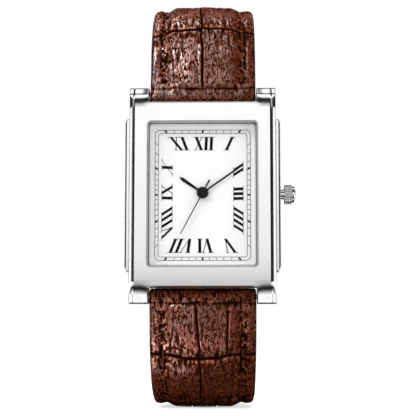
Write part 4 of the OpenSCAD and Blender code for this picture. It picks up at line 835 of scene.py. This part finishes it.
def strap_hide(name, scale=1.0, gloss=0.28):
    """Embossed leather: the mesh's crease, lip and edge shares mix the colours; flecks and veins give the bump.

    scale darkens the body colour; edge marks the painted sides. Flecks, veins and embers are fine wrinkles drawn out
    along the strap, which is what across and along measure, in millimetres. Sunk leather is dark and dull; its dark
    colour is partly the hide's own and partly painted shade in the hollows, and the crease share also brings the
    painted shadows of the rolled ends.
    """
    deep, warm, dark = shade(colours().leather_deep, scale), colours().leather_warm, colours().leather_crease_and_shade
    f = Finish(name)
    crease, lip, edge = f.attribute("crease"), f.attribute("lip"), f.attribute("edge")
    spot = f.put("ShaderNodeCombineXYZ", {0: f.attribute("across"), 1: f.attribute("along")}).outputs[0]
    cloud = f.noise(340.0, detail=3.0)
    fleck = f.noise(1.0, (4.6, 1.4, 1), 2.0, spot, 0.62)
    strokes = f.noise(1.0, (2.3, 0.8, 1), 1.0, spot, 0.62, 0.5)
    ember = f.noise(1.0, (2.2, 1.4, 1), 1.0, spot, 0.62)
    vein = f.span(f.math("ABSOLUTE", f.math("SUBTRACT", strokes, 0.5)), 0.02, 0.06, 1.0, 0.0)
    vein = f.math("MULTIPLY", vein, f.span(ember, 0.4, 0.5))
    body = f.tint(f.span(cloud, 0.35, 0.65), deep, 1.9, 0.002)
    body = f.mix(f.span(ember, 0.52, 0.6, 0, 0.8), body, shade(warm, 0.5))
    body = f.mix(f.math("MULTIPLY", lip, 0.9), body, warm)
    body = f.mix(f.math("MULTIPLY", edge, 0.8), body, shade(deep, 0.4))
    # Partly painted shade: flecks, veins, creases and the rolled ends' painted shadows take the dark colour
    sunk = f.math("MAXIMUM", f.math("MAXIMUM", f.span(fleck, 0.55, 0.65), vein), f.span(crease, 0.1, 0.6))
    body = f.mix(f.math("MULTIPLY", sunk, 0.95), body, dark)
    f.set(Base_Color=body, Roughness=f.span(cloud, 0.35, 0.65, gloss, gloss + 0.06),
          Specular_IOR_Level=f.span(sunk, 0.0, 0.4, 0.12, 0.0))
    f.bump(f.math("SUBTRACT", f.span(fleck, 0.5, 0.62, 0.7, 0.0), vein), 1.0, 0.00004)
    return f.mat


def calf_lining():
    """Lining: smooth calf with small pebbled cells, darker in the valleys, and a slow mottling from wear."""
    f = Finish("strap lining calf")
    pebble = f.put("ShaderNodeTexVoronoi", {"Vector": f.place, "Scale": 2600.0}, feature="DISTANCE_TO_EDGE")
    pebble = pebble.outputs["Distance"]
    cloud = f.noise(150.0, detail=4.0)
    colour = colours().lining
    worn = f.tint(f.span(cloud, 0.3, 0.7), colour, 0.62)
    f.set(Base_Color=f.mix(f.span(pebble, 0.0, 0.14, 0.6, 0.0), worn, shade(colour, 0.35)),
          Roughness=f.span(cloud, 0.3, 0.7, 0.5, 0.68), Specular_IOR_Level=0.2)
    f.bump(f.span(pebble, 0.0, 0.2), 0.25, 0.00003)
    return f.mat


def sewing_thread():
    """Thread: twisted strands as slanting bands, matt, in dark brown."""
    f = Finish("sewing thread")
    spot = f.put("ShaderNodeMapping", {"Vector": f.place, "Rotation": (0.6, 0.5, 0.6)}).outputs[0]
    twist = f.wave(2600.0, 1.5, spot)
    f.set(Base_Color=f.mix(twist, (0.03, 0.009, 0.004), (0.14, 0.038, 0.015)), Roughness=0.62, Specular_IOR_Level=0.03)
    f.bump(twist, 0.4, 0.00003)
    return f.mat


def wound_copper():
    """Coil: enamelled copper wire, fine bands square to the core."""
    f = Finish("wound copper")
    wires = f.wave(3400.0, 0.3, bands_direction="X")
    f.set(Base_Color=f.mix(wires, (0.28, 0.075, 0.022), (0.78, 0.29, 0.1)), Metallic=0.85, Roughness=0.3,
          Coat_Weight=0.5, Coat_Roughness=0.1)
    f.bump(wires, 0.5, 0.00003)
    return f.mat


def circuit_green():
    """Circuit board: green mask with a darker weave and pale tracks of noise bands."""
    f = Finish("circuit mask")
    weave = f.noise(5200.0, detail=1.0)
    tracks = f.wave(520.0, 6.0, detail=1.0, bands_direction="DIAGONAL")
    mask = f.mix(weave, (0.008, 0.09, 0.03), (0.015, 0.14, 0.05))
    f.set(Base_Color=f.mix(f.span(tracks, 0.82, 0.9), mask, (0.06, 0.28, 0.12)), Roughness=0.34, Coat_Weight=0.3,
          Coat_Roughness=0.15)
    f.bump(tracks, 0.1, 0.00001)
    return f.mat


# Operators: one for each group of pieces

def dress(finish, *nodes):
    """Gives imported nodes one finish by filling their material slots."""
    for name in nodes:
        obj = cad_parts[name]
        if not obj.data.materials:
            obj.data.materials.append(finish)
        for i in range(len(obj.material_slots)):
            obj.material_slots[i].material = finish


def coat(obj, finish, body="case"):
    """Gives a new piece its finish and the body that it rides on; leather joins the pieces that see sheen lamps."""
    obj.data.materials.clear()
    obj.data.materials.append(finish)
    if "hide" in finish.name:
        leather_pieces().objects.link(obj)
    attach(obj, body)


class WATCH_OT_case(bpy.types.Operator):
    """Polishes the case, its crown and back, and clears the crystal"""

    bl_idname = "watch.case"
    bl_label = "Case and Crystal"

    def execute(self, context):
        steel = colours().steel
        dress(polished("polished case steel", steel, 0.06, ease=0.00026, crowned=True), "case_body", "crown_tube")
        dress(polished("polished crown steel", steel, 0.09, 0.04, ease=0.00008), "crown")
        dress(brushed("brushed flange steel", (0.86, 0.86, 0.87), 0.24, (1, 1, 1)), "inner_flange")
        dress(brushed("brushed back steel", (0.7, 0.71, 0.72), 0.2, (1, 1, 0.03)), "case_back")
        dress(polished("screw steel", (0.78, 0.79, 0.8), 0.12, 0.05), "case_back_screws")
        dress(coated_crystal(), "crystal")
        dress(moulded("clear gasket", (0.5, 0.5, 0.5), 0.35), "crystal_gasket")
        dress(moulded("seal rubber", (0.012, 0.012, 0.013), 0.55, 0.3), "case_back_gasket", "crown_gasket")
        return {"FINISHED"}


class WATCH_OT_dial(bpy.types.Operator):
    """Lacquers the dial, its printing and the three hands"""

    bl_idname = "watch.dial"
    bl_label = "Dial and Hands"

    def execute(self, context):
        dress(lacquer_white(), "dial")
        dress(black_lacquer("dial ink", 9000.0, (0.003, 0.003, 0.0035), (0.009, 0.009, 0.01), (0.45, 0.45), 0.02, 0.05),
              "dial_print")
        dress(black_lacquer("hand lacquer", 6500.0, (0.004, 0.004, 0.005), (0.012, 0.012, 0.014), (0.22, 0.34), 0.05,
                            0.04), "hour_hand", "minute_hand", "seconds_hand")
        return {"FINISHED"}


class WATCH_OT_movement(bpy.types.Operator):
    """Gives the hidden movement its plates, wheels, coil, board and cell finishes"""

    bl_idname = "watch.movement"
    bl_label = "Movement"

    def execute(self, context):
        dress(moulded("movement holder plastic", (0.75, 0.74, 0.71), 0.5, 0.2), "movement_holder")
        dress(brushed("gilt plates", (0.72, 0.5, 0.2), 0.24, (1, 1, 0.05)), "main_plate", "train_bridge")
        dress(brushed("gilt wheels", (0.78, 0.56, 0.24), 0.2, (0.2, 1, 1)), "hour_wheel", "minute_wheel",
              "centre_wheel", "third_wheel", "seconds_wheel", "fifth_wheel")
        dress(polished("movement steel", (0.62, 0.63, 0.65), 0.14, 0.05), "bridge_screws", "battery_clip",
              "setting_lever", "yoke", "clutch_pinion", "setting_wheel", "stem")
        dress(moulded("rotor magnet", (0.05, 0.05, 0.055), 0.4, 0.2, 0.6), "rotor")
        dress(brushed("soft iron", (0.4, 0.4, 0.41), 0.34, (0.06, 1, 1)), "stator")
        dress(wound_copper(), "coil")
        dress(circuit_green(), "circuit_board")
        dress(brushed("cell steel", (0.7, 0.7, 0.69), 0.2, (0.05, 1, 1)), "battery", "quartz_can")
        return {"FINISHED"}


class WATCH_OT_strap(bpy.types.Operator):
    """Builds both padded leather straps with rolled ends, lining, stitches, adjusting holes and the buckle's loop"""

    bl_idname = "watch.strap"
    bl_label = "Strap"

    def execute(self, context):
        hide = strap_hide("strap hide")
        calf = calf_lining()
        thread = sewing_thread()
        upper = strap_skin("upper_leather", 1, 1.2, UPPER_END)
        lower = strap_skin("lower_leather", -1, 0.9, TAIL_END)
        cut_holes(lower, -1, 0.92, 1.62)
        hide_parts("upper_strap_leather", "upper_strap_padding")
        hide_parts("lower_strap_leather", "lower_strap_padding")
        upper_lining = lining_skin("upper_lining", 1, UPPER_END)
        lower_lining = lining_skin("lower_lining", -1, TAIL_END)
        cut_holes(lower_lining, -1, 0.9, 1.6)
        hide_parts("upper_strap_lining")
        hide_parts("lower_strap_lining")
        upper_roll = rolled_end_skin("upper_roll", 1, 1.2)
        lower_roll = rolled_end_skin("lower_roll", -1, 0.9)
        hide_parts("upper_rolled_end")
        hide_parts("lower_rolled_end")
        half = (LOOP_HIGH[0] - LOOP_LOW[0]) / 2
        tabs = [loop_tab_skin("left_loop_tab", -half, -NOTCH_HALF), loop_tab_skin("right_loop_tab", NOTCH_HALF, half)]
        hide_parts("buckle_loop")
        for obj in (upper, lower, upper_roll, lower_roll, *tabs):
            coat(obj, hide)
        for obj in (upper_lining, lower_lining):
            coat(obj, calf)
        self.sew(thread)
        return {"FINISHED"}

    def sew(self, thread):
        """Rows of stitches along both borders of both straps, on the face and on the wrist's side."""
        z = sizes()
        inset = FULL_WIDTH / 2 - z.stitch_line

        def beside(sign):
            return lambda s: sign * (strap_width(s) / 2 - inset)

        def outer(s, x):
            return outer_height(s, x, strap_width(s) / 2)

        def inner(s, x):
            return -strap_thickness(s) / 2 - 0.02

        upper_s = np.arange(FIRST_STITCH, UPPER_END - 1.0, z.stitch_pitch)
        lower_s = np.arange(FIRST_STITCH, TAIL_END - 11.5, z.stitch_pitch)
        faces = (("", outer, "strap_leather"), ("back_", inner, "strap_lining"))
        for sign, word in ((-1, "left"), (1, "right")):
            for side, end, s_list in ((1, "upper", upper_s), (-1, "lower", lower_s)):
                for tag, height_of, slot in faces:
                    row = thread_row(f"{end}_{word}_{tag}stitches", side, s_list, beside(sign), height_of)
                    coat(row, thread)


class WATCH_OT_keepers(bpy.types.Operator):
    """Builds the fixed and the sliding leather keeper"""

    bl_idname = "watch.keepers"
    bl_label = "Keepers"

    def execute(self, context):
        hide = strap_hide("keeper hide", 0.7, 0.32)
        for name, node, body in (("fixed_band", "fixed_keeper", "case"),
                                 ("sliding_band", "sliding_keeper", "sliding_keeper")):
            obj = keeper_skin(name, node)
            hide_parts(node)
            coat(obj, hide, body)
        return {"FINISHED"}


class WATCH_OT_buckle(bpy.types.Operator):
    """Polishes the buckle, its tongue and hinge bar, and the spring bars"""

    bl_idname = "watch.buckle"
    bl_label = "Buckle and Bars"

    def execute(self, context):
        steel = colours().steel
        dress(polished("buckle steel", steel, 0.06, 0.05, 0.05), "buckle_frame", "buckle_tongue")
        dress(brushed("bar steel", (0.6, 0.6, 0.61), 0.22, (0.04, 1, 1)), "buckle_bar", "upper_spring_bar",
              "lower_spring_bar", "upper_left_tip", "upper_right_tip", "lower_left_tip", "lower_right_tip")
        return {"FINISHED"}


def flat_plate(name, corners, grid=9):
    """Plane through four corners in millimetres, as a square grid of points blended from the corners."""
    c = np.asarray(corners, float)
    line = np.linspace(0, 1, grid)
    u, v = line[:, None, None], line[None, :, None]
    p = (c[0] * (1 - u) + c[1] * u) * (1 - v) + (c[3] * (1 - u) + c[2] * u) * v
    return mesh_object(name, p.reshape(-1, 3), grid_faces(grid, grid, False))


def level(x0, x1, y0, y1, z):
    """Corners of a level plate."""
    return [(x0, y0, z), (x1, y0, z), (x1, y1, z), (x0, y1, z)]


def leather_pieces():
    """Collection of the leather pieces, which alone see the sheen lamps made for them."""
    name = "leather pieces"
    return bpy.data.collections.get(name) or bpy.data.collections.new(name)


def card_glow():
    """Card paper whose own light is the mesh's tone: 0 is black and 1 white."""
    f = Finish("card glow")
    f.replace_shader("ShaderNodeEmission", {"Color": (1.0, 1.0, 1.0), "Strength": f.attribute("tone")})
    return f.mat


def studio_white(name, tone, own):
    """Matt stage paper that also glows by its own share, but not for the rays that light the scene: it reads white."""
    f = Finish(name)
    f.set(Base_Color=f.tint(f.noise(900.0), (tone,) * 3, 0.99), Roughness=0.9, Specular_IOR_Level=0.0)
    share = f.math("MULTIPLY", f.seen(), own)
    glow = f.put("ShaderNodeEmission", {"Color": (1.0, 1.0, 1.0), "Strength": share}).outputs[0]
    f.replace_shader("ShaderNodeAddShader", {0: f.shader.outputs[0], 1: glow})
    return f.mat


def soft_lamp(name, where, towards, size, watts, gloss_only=False, spread=180):
    """Area lamp in metres that lights without a reflection, or, with gloss_only, is seen in the leather's gloss alone.

    spread is the beam's full angle in degrees: a narrow one lights the side that it is aimed at and fades across.
    """
    data = bpy.data.lights.new(name, "AREA")
    data.shape = "RECTANGLE"
    data.size, data.size_y = size
    data.energy = watts
    data.spread = math.radians(spread)
    obj = bpy.data.objects.new(name, data)
    obj.location = where
    aim = Vector(towards) - Vector(where)
    obj.rotation_mode = "QUATERNION"
    obj.rotation_quaternion = aim.to_track_quat("-Z", "Y")
    obj.visible_glossy = gloss_only
    if gloss_only:
        obj.visible_diffuse = obj.visible_camera = obj.visible_transmission = False
        obj.light_linking.receiver_collection = leather_pieces()
    bpy.context.scene.collection.objects.link(obj)


class WATCH_OT_stage(bpy.types.Operator):
    """Sets up the camera, the pale floor, the white surroundings, the soft lamps and the cards"""

    bl_idname = "watch.stage"
    bl_label = "Studio"

    def execute(self, context):
        scene = context.scene
        camera = bpy.data.cameras.new("camera")
        camera.lens, camera.sensor_width = FOCAL_PX * SENSOR / PICTURE_PX, SENSOR
        camera.clip_start, camera.clip_end = 0.01, 20.0
        view = bpy.data.objects.new("camera", camera)
        view.location, view.rotation_euler = CAMERA_AT, CAMERA_TURN
        scene.collection.objects.link(view)
        scene.camera = view
        floor = flat_plate("floor", level(-3000, 3000, -1500, 4500, FLOOR_MM))
        floor.data.materials.append(studio_white("stage paper", 0.78, 0.62))
        self.surround(scene)
        soft_lamp("key lamp", (-0.42, -0.5, 0.5), (0, 0, 0), (0.42, 0.42), 2.8)
        soft_lamp("fill lamp", (0.5, -0.45, 0.22), (0, 0, 0), (0.5, 0.5), 1.2)
        soft_lamp("top lamp", (0.0, 0.1, 0.7), (0, 0.01, 0), (0.6, 0.6), 2.8)
        soft_lamp("upper sheen", (-0.12, -0.21, 0.165), (-0.045, 0, 0.02), (0.07, 0.13), 1.35, True, 18)
        soft_lamp("top sheen", (-0.1, -0.02, 0.3), (-0.06, 0, 0.026), (0.12, 0.12), 0.3, True, 24)
        soft_lamp("lower sheen", (-0.026, -0.075, -0.0355), (-0.026, -0.075, 0.1), (0.03, 0.135), 0.65, True)
        soft_lamp("foot sheen", (-0.019, -0.02, -0.0355), (-0.019, -0.02, 0.1), (0.03, 0.03), 0.1, True)
        self.cards()
        scene.view_settings.view_transform = "Standard"
        return {"FINISHED"}

    def surround(self, scene):
        """White world that is seen in full and lights at half its level."""
        world = bpy.data.worlds.new("studio")
        world.use_nodes = True
        n = Nodes(world.node_tree)
        level = n.span(n.seen(), 0.0, 1.0, 0.5, 1.0)
        back = n.put("ShaderNodeBackground", {"Color": (1, 1, 1), "Strength": level})
        n.put("ShaderNodeOutputWorld", {0: back.outputs[0]})
        scene.world = world

    def cards(self):
        """Studio cards that only reflections see: a front wall with a pale window, wings, ground, roof and back.

        Each tone is a formula of the place in millimetres. The ground is dark where the case's lower edge mirrors it.
        """
        foot, top = FLOOR_MM + 0.3, 400
        wide, near, far = 420, -230, 260
        glow = card_glow()

        def upright(x0, y0, x1, y1):
            return [(x0, y0, foot), (x1, y1, foot), (x1, y1, top), (x0, y0, top)]

        def zone(v, low, high, soft):
            return smooth((v - low) / soft) * smooth((high - v) / soft)

        pale = 0.85

        def front(x, y, z):
            window = np.interp(
                z, (-36, -8, -3.4, -2.6, -1.1, 0.3, 1.7, 5, 18, 30, 42, 70, 80, 87, 111, 144, 185, 230),
                (0.5, 0.56, 0.6, 0.65, 0.73, 0.79, 0.86, 0.91, 0.96, 1, 1.07, 1.08, 0.98, 0.87, 0.61, 0.21, 0.05,
                 0.015))
            aside = smooth((z - 90) / 40) * (1 - zone(x, -260, 240, 30))
            return np.maximum(window * zone(x, -80, 50, 8), pale * aside)

        def wing(x, y, z):
            return 1.1 * zone(y, -75, 90, 20) * smooth((140 - z) / 50)

        def ground(x, y, z):
            middle = np.interp(y, (-230, -120, -58, -37, -27, -21, -16, -12, -9, -5.8, -4.6),
                               (0.55, 0.38, 0.08, 0, 0, 0.1, 0.4, 0.8, 1.12, 1.12, 0))
            middle = middle * np.maximum(smooth((np.abs(x) - 8.9) / 0.8), y < -30)
            return np.maximum(middle, pale * smooth((np.abs(x) - 34 - 40 * smooth((y + 60) / 30)) / 14))

        def roof(x, y, z):
            return 1.1 * smooth((y + 200) / 140) * smooth((40 - y) / 30)

        def behind(x, y, z):
            return pale * smooth((np.abs(x) - 60) / 30)

        places = {
            "front_card": (upright(-wide, near, wide, near), front, 121),
            "left_card": (upright(-wide, near, -wide, far), wing, 65),
            "right_card": (upright(wide, near, wide, far), wing, 65),
            "ground_card": (level(-150, 150, near + 1, 70, foot), ground, 281),
            "roof_card": (level(-wide, wide, near, far, top), roof, 97),
            "back_card": (upright(-300, far, 300, far), behind, 65),
        }
        for name, (corners, tone, grid) in places.items():
            card = flat_plate(name, corners, grid)
            co = mesh_points(card.data) / MM
            mark_points(card, co[:, 0], tone=tone(*co.T) + 0.015)
            card.data.materials.append(glow)
            card.visible_camera = card.visible_diffuse = card.visible_shadow = False
            card.visible_transmission = False


class WATCH_PT_panel(bpy.types.Panel):
    """Lists the sizes, colours and steps in the 3D view's sidebar"""

    bl_label = "Watch"
    bl_idname = "WATCH_PT_panel"
    bl_space_type = "VIEW_3D"
    bl_region_type = "UI"
    bl_category = "Watch"

    def draw(self, context):
        for group in (context.scene.watch_sizes, context.scene.watch_colours):
            for key in group.__annotations__:
                self.layout.prop(group, key)
        for step in STEPS:
            self.layout.operator(step.bl_idname)


STEPS = (WATCH_OT_stage, WATCH_OT_case, WATCH_OT_dial, WATCH_OT_movement, WATCH_OT_strap, WATCH_OT_keepers,
         WATCH_OT_buckle)
CLASSES = (WatchSizes, WatchColours, *STEPS, WATCH_PT_panel)


def register():
    """Registers the classes, and the settings on the scene."""
    for cls in CLASSES:
        bpy.utils.register_class(cls)
    bpy.types.Scene.watch_sizes = PointerProperty(type=WatchSizes)
    bpy.types.Scene.watch_colours = PointerProperty(type=WatchColours)


def unregister():
    """Takes the settings and the classes out again."""
    del bpy.types.Scene.watch_colours
    del bpy.types.Scene.watch_sizes
    for cls in reversed(CLASSES):
        bpy.utils.unregister_class(cls)


def main():
    """Runs every step."""
    register()
    bpy.ops.watch.stage()
    bpy.ops.watch.case()
    bpy.ops.watch.dial()
    bpy.ops.watch.movement()
    bpy.ops.watch.strap()
    bpy.ops.watch.keepers()
    bpy.ops.watch.buckle()


if __name__ == "__main__":
    main()
